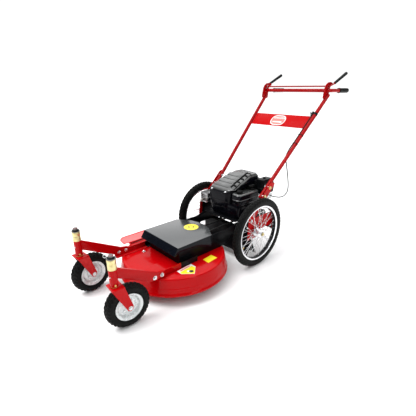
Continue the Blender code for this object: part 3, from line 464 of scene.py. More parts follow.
def bolt(at, direction, r=0.0085, h=0.0055, material=BRIGHT_ZINC, washer=1.35, stub=0.0, wmat=None):
    """Hexagon head with chamfered crown on a washer; stub leaves a thread end standing out."""
    rot = frame_of(direction)
    at = Vector(at)
    parts = []
    if washer:
        parts.append(lathe("w", [(0.0, 0.0), (r * washer, 0.0), (r * washer, 0.0011), (r * washer - 0.0004, 0.0015), (0.0, 0.0015)], rot, at,
                           wmat or material, 28, closed=False))
    z0 = 0.0014
    ring = [(math.cos(math.radians(60 * k)), math.sin(math.radians(60 * k))) for k in range(6)]
    verts, faces = [], []
    for z, k in ((z0, 1.0), (z0 + h * 0.80, 1.0), (z0 + h, 0.86)):
        for c, s in ring:
            verts.append(rot @ Vector((r * k * c, r * k * s, z)) + at + OFF)
    for a in (0, 6):
        for i in range(6):
            faces.append((a + i, a + (i + 1) % 6, a + 6 + (i + 1) % 6, a + 6 + i))
    faces += [list(range(6)), list(range(12, 18))]
    parts.append(make("h", verts, faces, material, 25))
    if stub:
        parts.append(lathe("s", [(0.0, z0), (r * 0.52, z0), (r * 0.52, z0 + h + stub - 0.0008), (r * 0.42, z0 + h + stub), (0.0, z0 + h + stub)],
                           rot, at, material, 16, closed=False))
    return parts


def refine(node, material, width=0.0009, seg=2, body="root", sharp=32, keep=None, name=None):
    """A clean copy of a CAD node: welded, flat faces merged, edges rounded, then shown for it."""
    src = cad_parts[node]
    bm = bmesh.new()
    bm.from_mesh(src.data)
    bmesh.ops.remove_doubles(bm, verts=bm.verts, dist=2e-5)
    bmesh.ops.dissolve_limit(bm, angle_limit=math.radians(0.8), verts=bm.verts, edges=bm.edges)
    me = bpy.data.meshes.new(name or node + "_finished")
    bm.to_mesh(me)
    bm.free()
    ob = finish(name or node + "_finished", me, material, sharp)
    if width:
        soften(ob, width, seg)
        bake(ob)
    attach(ob, body)
    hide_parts(node)
    return ob


def upward(ob, material, limit=0.35, source=None, above=-9.0):
    """Faces of one finish that look up take another one; used to put a lighter copy, painted sheen, on top faces."""
    ob.data.materials.append(material)
    k = len(ob.data.materials) - 1
    base = 0 if source is None else list(ob.data.materials).index(source)
    for poly in ob.data.polygons:
        if poly.material_index == base and poly.normal.z > limit and poly.center.z > above:
            poly.material_index = k
    return ob


def give(ob, body, *nodes, slot=None):
    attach(ob, body)
    if nodes:
        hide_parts(*nodes)
    return ob


# ============================================================ throttle cable
HANDLE_LOW, HANDLE_TOP = Vector((0.2295, 0.080, 0.482)), Vector((0.2957, 0.776, 1.178))
along = (HANDLE_TOP - HANDLE_LOW).normalized()


def on_handle(s, z):
    p = HANDLE_LOW + along * ((z - HANDLE_LOW.z) / along.z)
    return Vector((s * p.x, p.y, p.z))


def beside(z):
    p = on_handle(1, z)
    return (p.x - 0.0170, p.y - 0.0053, p.z + 0.0053)


tb = on_handle(1, 1.039)
u_dir, v_dir = Vector((0, -1, 1)).normalized(), Vector((0, 1, 1)).normalized()
first = Vector((tb.x - 0.0210, tb.y, tb.z)) - v_dir * 0.0204 + u_dir * 0.0075
route = [tuple(first), beside(1.000), beside(0.955), beside(0.900), beside(0.840), beside(0.790),
         (0.2395, 0.352, 0.745), (0.2400, 0.368, 0.694), (0.2400, 0.392, 0.620), (0.2400, 0.412, 0.550), (0.2400, 0.421, 0.492),
         (0.2395, 0.408, 0.455), (0.2370, 0.375, 0.435), (0.2310, 0.330, 0.433), (0.2230, 0.285, 0.443), (0.2190, 0.258, 0.452),
         (0.2140, 0.2450, 0.4575), (0.2055, 0.2385, 0.4600)]
line = [p + OFF for p in catmull(route, 0.005)]
cable = sweep("throttle_cable_sheath", line, 0.0038, SHEATH, 14, offset=False)
give(cable, "root", "throttle_cable", slot="cable_sheath")

# ============================================================ tyres


def tyre(name, node, centre, radius, width, bead_r, bead_h, blocks, knob, per, body, rib):
    """Tyre with moulded blocks: a zigzag centre, shoulder blocks and a ribbed side wall."""
    half, r_mid = width / 2, radius - knob
    mid = bead_r + (r_mid - bead_r) * 0.50
    up, down = r_mid - mid, mid - bead_r
    loop, kind = [], []
    n = 56
    for k in range(n + 1):
        f = -132 + 264 * k / n
        a = math.radians(f)
        x = half * math.copysign(abs(math.sin(a)) ** 0.86, math.sin(a)) * (0.985 if abs(f) < 90 else 1)
        y = up * abs(math.cos(a)) ** 0.90 if abs(f) <= 90 else -down * abs(math.cos(a)) * 1.30
        r = max(mid + y, bead_r + 0.0012)
        if abs(f) > 74:
            x -= math.copysign(rib * (0.5 + 0.5 * math.cos((abs(f) - 74) * 0.55)), x) * 0.5
        loop.append((r, x))
        kind.append(f)
    for r, x, f in ((bead_r + 0.0004, bead_h, 200), (bead_r + 0.0004, bead_h * 0.3, 200), (bead_r + 0.0004, -bead_h * 0.3, 200), (bead_r + 0.0004, -bead_h, 200)):
        loop.append((r, x))
        kind.append(f)

    def edge(v, lo, hi, soft):
        return max(0.0, min(1.0, (v - lo) / soft)) * max(0.0, min(1.0, (hi - v) / soft))

    def shape(t, j):
        f = kind[j]
        if abs(f) > 78:
            return 0.0, 0.0
        q = t * blocks / (2 * math.pi)
        if abs(f) < 20:
            ph = (q + 0.5 * abs(f) / 20) % 1.0
            h = edge(ph, 0.0, 0.70, 0.10) * edge(abs(f), -1, 19, 4)
        elif abs(f) < 48:
            ph = (q + 0.5 + (0.12 if f > 0 else -0.12)) % 1.0
            h = edge(ph, 0.0, 0.66, 0.10) * edge(abs(f), 22, 47, 4)
        else:
            ph = (q + (0.18 if f > 0 else -0.18)) % 1.0
            h = edge(ph, 0.0, 0.52, 0.10) * edge(abs(f), 49, 77, 4)
        a = math.radians(f)
        lift = knob * h
        return lift * math.cos(a), lift * math.sin(a) * 0.55

    ob = lathe(name, loop, "X", centre, RUBBER, blocks * per, 28, shape)
    return give(ob, body, node, slot="tyre_rubber")


for side, s in SIDES:
    tyre("road_tyre_" + side, "rear_tyre_" + side, (s * 0.2937, 0, 0.255), 0.2548, 0.0500, 0.2006, 0.0168, 54, 0.0034, 8, "rear_wheel_" + side, 0.0006)

# ============================================================ rear wheels
WX, WZ = 0.2937, 0.255
for side, s in SIDES:
    c = (s * WX, 0, WZ)
    body = "rear_wheel_" + side
    rim = lathe("rim", [
        (0.1868, 0.0040), (0.1874, 0.0095), (0.1905, 0.0150), (0.1955, 0.0176), (0.2020, 0.0182), (0.2058, 0.0190), (0.2066, 0.0176), (0.2050, 0.0162),
        (0.1998, 0.0158), (0.1975, 0.0120), (0.1975, -0.0120), (0.1998, -0.0158), (0.2050, -0.0162), (0.2066, -0.0176), (0.2058, -0.0190),
        (0.2020, -0.0182), (0.1955, -0.0176), (0.1905, -0.0150), (0.1874, -0.0095), (0.1868, -0.0040)], "X", c, CHROME, 120, 40)
    a, b = 0.2640 - WX, 0.3320 - WX
    prof = [(0.0089, b), (0.0148, b), (0.0156, b - 0.0010), (0.0156, b - 0.0085), (0.0200, b - 0.0100), (0.0292, b - 0.0104), (0.0300, b - 0.0112), (0.0300, b - 0.0134),
            (0.0292, b - 0.0142), (0.0200, b - 0.0148), (0.0145, b - 0.0180), (0.0133, b - 0.0230), (0.0133, a + 0.0230), (0.0145, a + 0.0180), (0.0200, a + 0.0148),
            (0.0292, a + 0.0142), (0.0300, a + 0.0134), (0.0300, a + 0.0112), (0.0292, a + 0.0104), (0.0200, a + 0.0100), (0.0156, a + 0.0085), (0.0156, a + 0.0010),
            (0.0148, a), (0.0089, a)]
    if s < 0:
        prof = [(r, -h) for r, h in reversed(prof)]
    rim.data.materials.append(BED)
    for poly in rim.data.polygons:
        if math.hypot(poly.center.y - OFF.y, poly.center.z - WZ) < 0.1903:
            poly.material_index = 1
    parts = [rim, lathe("hub", prof, "X", c, CHROME, 48, 30)]
    for i in range(36):
        t_r = 2 * math.pi * (i + 0.5) / 36
        h0 = (b - 0.0123) * s if i % 2 else (a + 0.0123) * s
        turn_by = math.radians(52) * (1 if (i // 2) % 2 else -1)
        t_h = t_r + turn_by
        h0 += 0.0016 * (1 if (i // 2) % 2 else -1)
        p = Vector((c[0] + h0, 0.0268 * math.cos(t_h), c[2] + 0.0268 * math.sin(t_h)))
        q = Vector((c[0] + h0 * 0.10, 0.1885 * math.cos(t_r), c[2] + 0.1885 * math.sin(t_r)))
        d = (q - p).normalized()
        parts.append(sweep("s", [p - d * 0.001, p + (q - p) * 0.5, q], 0.0015, SPOKE, 8))
        parts.append(sweep("n", [q - d * 0.0130, q - d * 0.0120, q - d * 0.002, q + d * 0.0008], lambda i, n: 0.0017 if i == 0 else 0.0024, CHROME, 6))
        parts.append(sweep("k", [p - Vector((0.0026, 0, 0)), p + Vector((0.0026, 0, 0))], 0.0019, CHROME, 6))
    give(merge("laced_wheel_" + side, parts), body, "spoked_wheel_" + side, slot="chrome_plate")
    # valve
    tv = math.radians(205)
    p = Vector((c[0], 0.1880 * math.cos(tv), c[2] + 0.1880 * math.sin(tv)))
    d = Vector((0, -math.cos(tv), -math.sin(tv)))
    valve = sweep("tyre_valve_" + side, [p, p + d * 0.010, p + d * 0.012, p + d * 0.024], lambda i, n: (0.0042, 0.0042, 0.0032, 0.0032)[i], BRASS, 12)
    give(valve, body, slot="chrome_plate")
    # axle bolt: shank is the CAD piece; nut, washer and thread shown here
    ax = [lathe("a", [(0, 0.2510), (0.0078, 0.2510), (0.0078, 0.3324), (0, 0.3324)], Matrix(((0, 0, s), (1, 0, 0), (0, s, 0))), (0, 0, WZ), ZINC, 24, closed=False)]
    ax += bolt((s * 0.3325, 0, WZ), (s, 0, 0), 0.0118, 0.0082, ZINC, 1.25, 0.0030, DULL)
    ax += bolt((s * 0.2570, 0, WZ), (-s, 0, 0), 0.0120, 0.0080, ZINC, 1.2, 0.002)
    give(merge("wheel_bolt_" + side, ax), "root", "rear_axle_bolt_" + side, slot="yellow_zinc")

# ============================================================ casters
PX, PY, TRAIL, CR = 0.222, -1.084, 0.059, 0.129
for side, s in SIDES:
    px, wy = s * PX, PY + TRAIL
    swing = Matrix.Translation(Vector((px, PY, 0)) + OFF) @ Matrix.Rotation(-0.07 * s, 4, "Z") @ Matrix.Translation(-Vector((px, PY, 0)) - OFF)
    body, wheel = "caster_" + side, "caster_wheel_" + side

    def place(ob):
        ob.data.transform(swing)
        return ob

    ty = tyre("caster_tread_" + side, "caster_tyre_" + side, (px, wy, CR), CR - 0.0004, 0.0640, 0.0776, 0.0285, 30, 0.0042, 10, wheel, 0.0008)
    place(ty)
    c = (px, wy, CR)
    disc = []
    half = [(0.0070, 0.0368), (0.0150, 0.0368), (0.0172, 0.0355), (0.0178, 0.0120), (0.0205, 0.0085), (0.0280, 0.0066), (0.0330, 0.0088), (0.0370, 0.0098),
            (0.0420, 0.0088), (0.0470, 0.0062), (0.0540, 0.0060), (0.0580, 0.0080), (0.0618, 0.0170), (0.0645, 0.0245), (0.0680, 0.0276), (0.0735, 0.0284),
            (0.0772, 0.0300), (0.0790, 0.0312), (0.0800, 0.0300), (0.0792, 0.0286), (0.0775, 0.0276)]
    loop = half + [(0.0690, 0.0240), (0.0662, 0.0120), (0.0662, -0.0120), (0.0690, -0.0240)] + [(r, -h) for r, h in reversed(half)]
    disc.append(lathe("rim", loop, "X", c, RIM_SILVER, 96, 40))
    for k in range(4):
        t = math.radians(45 + 90 * k)
        for d in (1, -1):
            disc += bolt((px + d * 0.0098, wy + 0.0370 * math.cos(t), CR + 0.0370 * math.sin(t)), (d, 0, 0), 0.0048, 0.0032, BRIGHT_ZINC, 1.3)
    for d in (1, -1):
        disc.append(lathe("bearing", [(0.0066, 0.0), (0.0138, 0.0), (0.0138, 0.0008), (0.0120, 0.0013), (0.0066, 0.0013)],
                          Matrix(((0, 0, d), (1, 0, 0), (0, d, 0))), (px + d * 0.0364, wy, CR), STEEL, 32))
    rim = place(merge("caster_rim_pressed_" + side, disc))
    give(rim, wheel, "caster_rim_" + side, slot="white_paint")
    tv = math.radians(118)
    p = Vector((px + 0.0100, wy + 0.0600 * math.cos(tv), CR + 0.0600 * math.sin(tv)))
    valve = place(sweep("caster_valve_" + side, [p, p + Vector((0.008, 0, 0)), p + Vector((0.0085, 0, 0)), p + Vector((0.0180, 0, 0))],
                        lambda i, n: (0.0045, 0.0040, 0.0030, 0.0028)[i], GRIP, 12))
    give(valve, wheel, slot="tyre_rubber")
    # fork
    refine("caster_fork_" + side, RED, 0.0016, 3, body)
    weld = []
    for d in (1, -1):
        pts = [Vector((px + d * 0.0375, PY - 0.027 + 0.064 * k / 8, 0.2618)) for k in range(9)]
        weld.append(sweep("bead", pts, 0.0016, RED, 8))
    weld.append(lathe("fillet", [(0.0120, 0.2680), (0.0172, 0.2680), (0.0150, 0.2692), (0.0127, 0.2700), (0.0120, 0.2700)], "Z", (px, PY, 0), RED, 40))
    weld += bolt((px + 0.0418, wy, CR), (1, 0, 0), 0.0100, 0.0066, RIM_SILVER, 1.25, 0.0)
    weld += bolt((px - 0.0418, wy, CR), (-1, 0, 0), 0.0100, 0.0066, RIM_SILVER, 1.25, 0.0)
    weld.append(lathe("axle", [(0, -0.0420), (0.0058, -0.0420), (0.0058, 0.0420), (0, 0.0420)], "X", c, BRIGHT_ZINC, 20, closed=False))
    ob = place(merge("caster_bolt_" + side, weld))
    give(ob, body, "caster_axle_" + side, slot="yellow_zinc")
    # spacers, washer, shaft end and clip pin
    st = [lathe("sp", [(0.0131, 0.3728), (0.0238, 0.3728), (0.0243, 0.3734), (0.0243, 0.3772), (0.0232, 0.3785), (0.0232, 0.4022), (0.0222, 0.4040), (0.0222, 0.4062),
                       (0.0234, 0.4080), (0.0234, 0.4300), (0.0226, 0.4312), (0.0131, 0.4312)], "Z", (px, PY, 0), ZINC, 56, 40),
          lathe("wa", [(0.0131, 0.4316), (0.0240, 0.4316), (0.0246, 0.4324), (0.0246, 0.4344), (0.0240, 0.4352), (0.0131, 0.4352)], "Z", (px, PY, 0), BLADE, 48),
          lathe("w2", [(0.0131, 0.4356), (0.0192, 0.4356), (0.0198, 0.4366), (0.0192, 0.4414), (0.0131, 0.4414)], "Z", (px, PY, 0), FRAME_BLACK, 48),
          lathe("bush", [(0.0131, 0.2693), (0.0212, 0.2693), (0.0216, 0.2698), (0.0216, 0.2737), (0.0212, 0.2742), (0.0131, 0.2742)], "Z", (px, PY, 0), BRASS, 48)]
    st[0].data.materials[0] = ZINC
    st.append(lathe("end", [(0, 0.4538), (0.0096, 0.4538), (0.0112, 0.4534), (0.0129, 0.4520), (0.01295, 0.4420), (0.01295, 0.4316), (0, 0.4316)],
                    "Z", (px, PY, 0), BLADE, 44, closed=False))
    pin_z = 0.4472
    w = Vector((-0.68, -0.73, 0.0)).normalized()
    c0 = Vector((px, PY, pin_z))
    st.append(sweep("pin", [c0 - w * 0.0200, c0 + w * 0.0150, c0 + w * 0.0220], 0.0022, BRIGHT_ZINC, 10))
    ring = [c0 + w * (0.0225 + 0.0085 * (1 - math.cos(a))) + Vector((0, 0, -0.0040 - 0.0085 * math.sin(a))) for a in [2 * math.pi * k / 28 for k in range(29)]]
    st.append(sweep("ring", ring, 0.0013, BRIGHT_ZINC, 8))
    ob = place(merge("spacer_stack_" + side, st))
    give(ob, body, "height_spacers_" + side, slot="yellow_zinc")

# ============================================================ arms, rails and their bolts
RAIL_SHADE_FROM = -0.635
for side, s in SIDES:
    refine("caster_arm_" + side, RED, 0.0014, 3)
    rail_ob = refine("deck_rail_" + side, RED, 0.0010, 2)
    # the rail's rear part, under the belt cover, takes black: painted shade
    rail_ob.data.materials.append(FRAME_BLACK)
    bm = bmesh.new()
    bm.from_mesh(rail_ob.data)
    bmesh.ops.bisect_plane(bm, geom=bm.verts[:] + bm.edges[:] + bm.faces[:], plane_co=(0, RAIL_SHADE_FROM + OFF.y, 0), plane_no=(0, 1, 0))
    for f in bm.faces:
        if f.calc_center_median().y > RAIL_SHADE_FROM + OFF.y:
            f.material_index = 1
    bm.to_mesh(rail_ob.data)
    bm.free()
    hw = []
    for y in (-0.835, -0.785):
        hw += bolt((s * 0.2174, y, 0.2075), (s, 0, 0), 0.0098, 0.0066, BRIGHT_ZINC, 1.35, 0.0035)
        hw += bolt((s * 0.2008, y, 0.2075), (-s, 0, 0), 0.0090, 0.0058, BRIGHT_ZINC, 1.3)
    # weld beads round the spindle tube's seam with the arm
    for d in (1, -1):
        pts = [Vector((s * 0.2112 + d * 0.0062, -1.0635 + 0.001, 0.306 + 0.062 * k / 10)) for k in range(11)]
        hw.append(sweep("b", pts, 0.0017, RED, 8))
    # small set screw low on the tube, and a grease fitting
    hw += bolt((s * PX + 0.0218, PY - 0.004, 0.2860), (1, -0.15, 0), 0.0046, 0.0034, BRASS, 1.2)
    hw.append(lathe("g", [(0, 0.0), (0.0034, 0.0), (0.0034, 0.003), (0.0022, 0.004), (0.0022, 0.0065), (0.0012, 0.008), (0, 0.008)],
                    frame_of((0.5, -1, 0)), Vector((s * PX, PY, 0.3350)) + Vector((0.5, -1, 0)).normalized() * 0.0218, BRIGHT_ZINC, 14, closed=False))
    give(merge("arm_bolts_" + side, hw), "root", slot="yellow_zinc")

# ============================================================ mowing deck
DY, DT, DR = -0.535, 0.183, 0.346
refine("deck_shell", RED, 0.0008, 2)
skirt = lathe("deck_side_wall", [
    (DR - 0.0180, DT - 0.0002), (DR - 0.0180, DT + 0.0012), (DR - 0.0085, DT + 0.0012), (DR - 0.0040, DT + 0.0002), (DR - 0.0012, DT - 0.0026), (DR + 0.0004, DT - 0.0075),
    (0.3548, 0.1275), (0.3556, 0.1235), (0.3576, 0.1195), (0.3580, 0.1150), (0.3603, 0.0945), (0.3622, 0.0895), (0.3650, 0.0866), (0.3664, 0.0825), (0.3664, 0.0760),
    (0.3650, 0.0727), (0.3625, 0.0718), (0.3590, 0.0722), (0.3575, 0.0760), (0.3575, 0.0900), (0.3530, 0.1150), (DR - 0.0040, DT - 0.0090), (DR - 0.0060, DT - 0.0042),
    (DR - 0.0100, DT - 0.0036)], "Z", (0, DY, 0), RED, 160, 34)
hole = box("mouth", (-0.45, -0.699, 0.1010), (-0.28, -0.546, 0.1695), RED, 0)
bl = skirt.modifiers.new("mouth", "BOOLEAN")
bl.operation = "DIFFERENCE"
bl.object = hole
bl.solver = "EXACT"
bpy.context.view_layer.update()
bake(skirt)
bpy.data.objects.remove(hole)
give(skirt, "root", "deck_skirt", slot="red_paint")
hw = []
for x, y in ((0.159, -0.239), (-0.159, -0.239), (0.189, -0.690), (-0.139, -0.687), (0.189, -0.560), (-0.189, -0.560), (0.1850, -0.520)):
    hw += bolt((x, y, DT + (0.0043 if abs(abs(x) - 0.189) < 0.002 else 0.0)), (0, 0, 1), 0.0088, 0.0058, BRIGHT_ZINC, 1.3, 0.0025)
give(merge("deck_bolts", hw), "root", slot="red_paint")
HX, HZ = -0.2985, 0.1945
tip = [(-0.0915 + 0.0475 * (1 - math.cos(t)), -0.6900 - 0.0540 * math.sin(t)) for t in [math.pi / 2 * k / 12 for k in range(13)]]
edge_line = [(-0.0915, -0.5000)] + tip + [(-0.0060, -0.7440)]
tilt = Matrix.Rotation(math.radians(8), 3, "Y")
# the plate takes the paler red: painted reflection
flap = [prism("plate", edge_line + [(-0.0060, -0.7150), (-0.0035, -0.7150), (-0.0035, -0.6965), (0.0, -0.6965), (0.0, -0.5435), (-0.0060, -0.5435), (-0.0060, -0.5000)],
              -0.0015, 0.0015, "Z", FLAP_SHEEN_RED, 0.0007, 2, at=(HX, 0, HZ), rot=tilt),
        sweep("rolled_edge", [Vector((HX, 0, HZ)) + tilt @ Vector((x + 0.0018 if x < -0.09 else x, y + (0.0018 if y < -0.74 else 0.0), 0.0012)) for x, y in edge_line],
              0.0024, RED, 10),
        lathe("knuckle", [(0.0034, -0.6960), (0.0058, -0.6960), (0.0062, -0.6955), (0.0062, -0.5440), (0.0058, -0.5435), (0.0034, -0.5435)], "Y", (HX, 0, HZ), RED, 28)]
give(merge("deflector_flap", flap), "deflector", "discharge_deflector", slot="red_paint")

# flat generic films on the deck: plain shapes without any marks
z = DT + 0.0004
plain = [prism("f", [(0.2181, -0.4647), (0.2087, -0.3841), (0.2630, -0.3808), (0.2727, -0.4681)], z, z + 0.0004, "Z", YELLOW, 0),
         prism("w", [(0.2159, -0.6770), (0.2055, -0.5585), (0.2512, -0.5573), (0.3091, -0.6153), (0.2581, -0.6757)], z, z + 0.0004, "Z", WHITE_FILM, 0),
         prism("y", [(0.2385, -0.6709), (0.2282, -0.5697), (0.2571, -0.5649), (0.3062, -0.6144), (0.2572, -0.6735)], z + 0.0002, z + 0.0007, "Z", YELLOW, 0),
         prism("s", [(0.2225, -0.6583), (0.2147, -0.5772), (0.2246, -0.5806), (0.2334, -0.6615)], z + 0.0002, z + 0.0007, "Z", PINK_FILM, 0),
         lathe("h", [(0, z + 0.0006), (0.0110, z + 0.0006), (0.0110, z + 0.0009), (0, z + 0.0009)], "Z", (0.2639, -0.6238, 0), WHITE_FILM, 32, closed=False),
         lathe("d", [(0, z + 0.0008), (0.0140, z + 0.0008), (0.0140, z + 0.0011), (0, z + 0.0011)], "Z", (0.2759, -0.6125, 0), DARK_FILM_AND_SHADE, 32, closed=False)]
give(merge("plain_films", plain), "root", slot="red_paint")

# ============================================================ belt cover and chassis
# the belt cover's upward faces take the lighter black: painted sheen
cover = upward(refine("belt_cover", BLACK, 0.0030, 4), BLACK_LIT_TOP, 0.80)
# the cover's steep sides that face a little upward take the lighter black: painted light
cover.data.materials.append(BLACK_LIT_SIDE)
for poly in cover.data.polygons:
    if poly.material_index == 0 and abs(poly.normal.x) > 0.45 and poly.normal.z > 0.10:
        poly.material_index = 2
hw = []
disc = lathe("round_film", [(0, 0.3152), (0.0510, 0.3152), (0.0510, 0.3157), (0.0490, 0.3159), (0, 0.3159)], "Z", (-0.004, -0.3760, 0), YELLOW, 56, closed=False)
hw.append(disc)
inner = lathe("round_film_in", [(0.0150, 0.3157), (0.0210, 0.3157), (0.0210, 0.3161), (0.0150, 0.3161)], "Z", (-0.004, -0.3760, 0), DARK_FILM_AND_SHADE, 40)
hw.append(inner)
give(merge("cover_film", hw), "root", slot="black_paint")
refine("chassis_frame", FRAME_BLACK, 0.0012, 2)
refine("engine_plate", FRAME_BLACK, 0.0010, 2)
# black sheet trailing down and back behind the chassis, across the width between the wheels
give(prism("rear_trailing_sheet", [(-0.0165, 0.2020), (-0.0140, 0.2020), (-0.0100, 0.1850), (0.0160, 0.1250), (0.0420, 0.0780), (0.0560, 0.0500), (0.0530, 0.0490),
                                (0.0390, 0.0765), (0.0130, 0.1235), (-0.0130, 0.1840)], -0.2440, 0.2440, "X", GRIP, 0.0006), "root", slot="tyre_rubber")
for side, s in SIDES:
    refine("frame_side_" + side, RED, 0.0012, 3)
    hw = []
    for y in (0.095, 0.150):
        hw += bolt((s * 0.2625, y, y + 0.402), (s, 0, 0), 0.0095, 0.0062, ZINC, 1.3, 0.003)
        hw += bolt((s * (0.2295 + (y - 0.080) / 0.696 * 0.0662 - 0.0120), y, y + 0.402), (-s, 0, 0), 0.0088, 0.0060, BRIGHT_ZINC, 1.2, 0.003)
    for y, z0 in ((-0.040, 0.345), (0.215, 0.345), (-0.040, 0.215), (0.225, 0.223)):
        hw += bolt((s * 0.2625, y, z0), (s, 0, 0), 0.0085, 0.0056, BRIGHT_ZINC, 1.3)
    give(merge("side_bolts_" + side, hw), "root", slot="yellow_zinc")
    lin = prism("side_liner_" + side, [(-0.0420, 0.2600), (0.2480, 0.2600), (0.2480, 0.3600), (0.0240, 0.3600), (0.0640, 0.4320), (0.0000, 0.4320), (-0.0420, 0.3860)],
                *sorted((s * 0.2550, s * 0.2574)), "X", FRAME_BLACK, 0.0008)
    give(lin, "root", slot="black_paint")
    hw = []
    for y in (0.095, 0.150):
        x = 0.2295 + (y - 0.080) / 0.696 * 0.0662 + 0.0127
        hw.append(lathe("sp", [(0.0050, x - 0.003), (0.0090, x - 0.003), (0.0090, 0.2574), (0.0050, 0.2574)], Matrix(((0, 0, s), (1, 0, 0), (0, s, 0))), (0, y, y + 0.402), BRIGHT_ZINC, 20))
    give(merge("handle_spacers_" + side, hw), "root", slot="yellow_zinc")

# ============================================================ spindle, blade, belt drive
for node, mt, body, w in (("spindle_housing", FRAME_BLACK, "root", 0.0010), ("spindle_bearing_upper", STEEL, "root", 0.0004),
                          ("spindle_bearing_lower", STEEL, "root", 0.0004), ("spindle_shaft", STEEL, "blade_spindle", 0.0008),
                          ("blade_pulley", STEEL, "blade_spindle", 0.0006), ("blade_holder", STEEL, "blade_spindle", 0.0008),
                          ("cutting_blade", BLADE, "blade_spindle", 0.0012), ("crankshaft", STEEL, "crankshaft", 0.0008),
                          ("engine_pulley", STEEL, "crankshaft", 0.0006), ("idler_arm", BRIGHT_ZINC, "idler_arm", 0.0008),
                          ("idler_roller", STEEL, "idler_roller", 0.0006), ("drive_belt", BELT, "root", 0.0008)):
    refine(node, mt, w, 2, body)
give(merge("blade_bolt", bolt((0, DY, 0.1036), (0, 0, -1), 0.0115, 0.0085, BRIGHT_ZINC, 1.5)), "blade_spindle", slot="machined_steel")
give(merge("pulley_nut", bolt((0, DY, 0.2850), (0, 0, 1), 0.0130, 0.0075, BRIGHT_ZINC, 1.3, 0.002)), "blade_spindle", slot="machined_steel")

# ============================================================ engine
CY = 0.080
refine("engine_block", BASE_BLACK, 0.0020, 3)
fins = []
for k in range(8):
    z0 = 0.3460 + 0.0090 * k
    fins.append(prism("fin", [(-0.1500, 0.012), (-0.0700, 0.012), (-0.0700, 0.158), (-0.1500, 0.158)], z0, z0 + 0.0028, "Z", BASE_BLACK, 0.0007))
give(merge("cylinder_fins", fins), "root", slot="cast_aluminium")


def superloop(x0, x1, y0, y1, r, n=10):
    out = []
    for cx, cy, t0 in ((x1 - r, y1 - r, 0), (x0 + r, y1 - r, 90), (x0 + r, y0 + r, 180), (x1 - r, y0 + r, 270)):
        for k in range(n + 1):
            t = math.radians(t0 + 90 * k / n)
            out.append((cx + r * math.cos(t), cy + r * math.sin(t)))
    return out


def lofted(name, levels, material, sharp=32, cap_low=True, cap_top=True, n=10):
    verts, faces = [], []
    for x0, x1, y0, y1, r, z0 in levels:
        for x, y in superloop(x0, x1, y0, y1, r, n):
            verts.append(Vector((x, y, z0)) + OFF)
    q = 4 * (n + 1)
    for a in range(len(levels) - 1):
        for i in range(q):
            faces.append((a * q + i, a * q + (i + 1) % q, (a + 1) * q + (i + 1) % q, (a + 1) * q + i))
    if cap_low:
        faces.append(list(range(q)))
    if cap_top:
        faces.append(list(range((len(levels) - 1) * q, len(levels) * q)))
    return make(name, verts, faces, material, sharp)


LEVELS = [(-0.150, 0.0850, -0.085, 0.240, 0.050, 0.4000), (-0.150, 0.0850, -0.085, 0.240, 0.050, 0.5090), (-0.143, 0.0850, -0.079, 0.239, 0.048, 0.5200),
          (-0.138, 0.0980, -0.072, 0.238, 0.045, 0.5320), (-0.118, 0.1100, 0.000, 0.235, 0.040, 0.5720), (-0.095, 0.1050, 0.080, 0.228, 0.035, 0.6040),
          (-0.075, 0.0900, 0.120, 0.215, 0.030, 0.6220)]


def level_at(z0, grow=0.0):
    for a, b in zip(LEVELS, LEVELS[1:]):
        if a[5] <= z0 <= b[5]:
            f = (z0 - a[5]) / (b[5] - a[5])
            v = [p + (q - p) * f for p, q in zip(a, b)]
            return (v[0] - grow, v[1] + grow, v[2] - grow, v[3] + grow, v[4] + grow, z0)
    return LEVELS[-1]


def top_at(y):
    """Height of the shroud's sloping front face at a place along Y."""
    for a, b in zip(LEVELS[2:], LEVELS[3:]):
        if a[2] <= y <= b[2]:
            return a[5] + (b[5] - a[5]) * (y - a[2]) / (b[2] - a[2])
    return LEVELS[-1][5]


body_levels = [(-0.1470, 0.0820, -0.0820, 0.2370, 0.047, 0.3960), (-0.150, 0.0850, -0.085, 0.240, 0.050, 0.4000), (-0.150, 0.0850, -0.085, 0.240, 0.050, 0.4420),
               (-0.1478, 0.0828, -0.0828, 0.2378, 0.048, 0.4440), (-0.1478, 0.0828, -0.0828, 0.2378, 0.048, 0.4470), (-0.150, 0.0850, -0.085, 0.240, 0.050, 0.4490),
               (-0.150, 0.0850, -0.085, 0.240, 0.050, 0.5060), (-0.1475, 0.0850, -0.0830, 0.2395, 0.049, 0.5130)]
zs = [0.5200 + (0.6170 - 0.5200) * k / 14 for k in range(15)]
body_levels += [level_at(z0) for z0 in zs]
body_levels += [(-0.0790, 0.0930, 0.1160, 0.2170, 0.031, 0.6205), (-0.0700, 0.0840, 0.1260, 0.2090, 0.027, 0.6226)]
shroud = lofted("engine_shroud", body_levels, SHELL, 38, cap_low=False)
details = [shroud]
# lip round the seam between the top shell and the lower housing
details.append(lofted("lip", [level_at(0.5100, 0.0010), level_at(0.5125, 0.0032), level_at(0.5160, 0.0032), level_at(0.5185, 0.0010)], SHELL, 50, False, False))
# raised cooling ribs across the sloping top
for k in range(4):
    y0 = -0.0540 + 0.0410 * k
    z0, z1 = top_at(y0), top_at(y0 + 0.0310)
    x0 = -0.1120 + 0.0070 * k
    x1 = 0.0480
    rib = [Vector((x0, y0, z0 + 0.0004)), Vector((x1, y0, z0 + 0.0004)), Vector((x1, y0 + 0.0310, z1 + 0.0004)), Vector((x0, y0 + 0.0310, z1 + 0.0004)),
           Vector((x0 + 0.004, y0 + 0.0018, z0 + 0.0036)), Vector((x1 - 0.004, y0 + 0.0018, z0 + 0.0036)), Vector((x1 - 0.004, y0 + 0.0290, z1 + 0.0022)),
           Vector((x0 + 0.004, y0 + 0.0290, z1 + 0.0022))]
    ob = make("rib", [v + OFF for v in rib], [(0, 1, 2, 3), (4, 5, 6, 7), (0, 1, 5, 4), (1, 2, 6, 5), (2, 3, 7, 6), (3, 0, 4, 7)], SHELL, 30)
    soften(ob, 0.0008, 2)
    details.append(bake(ob))
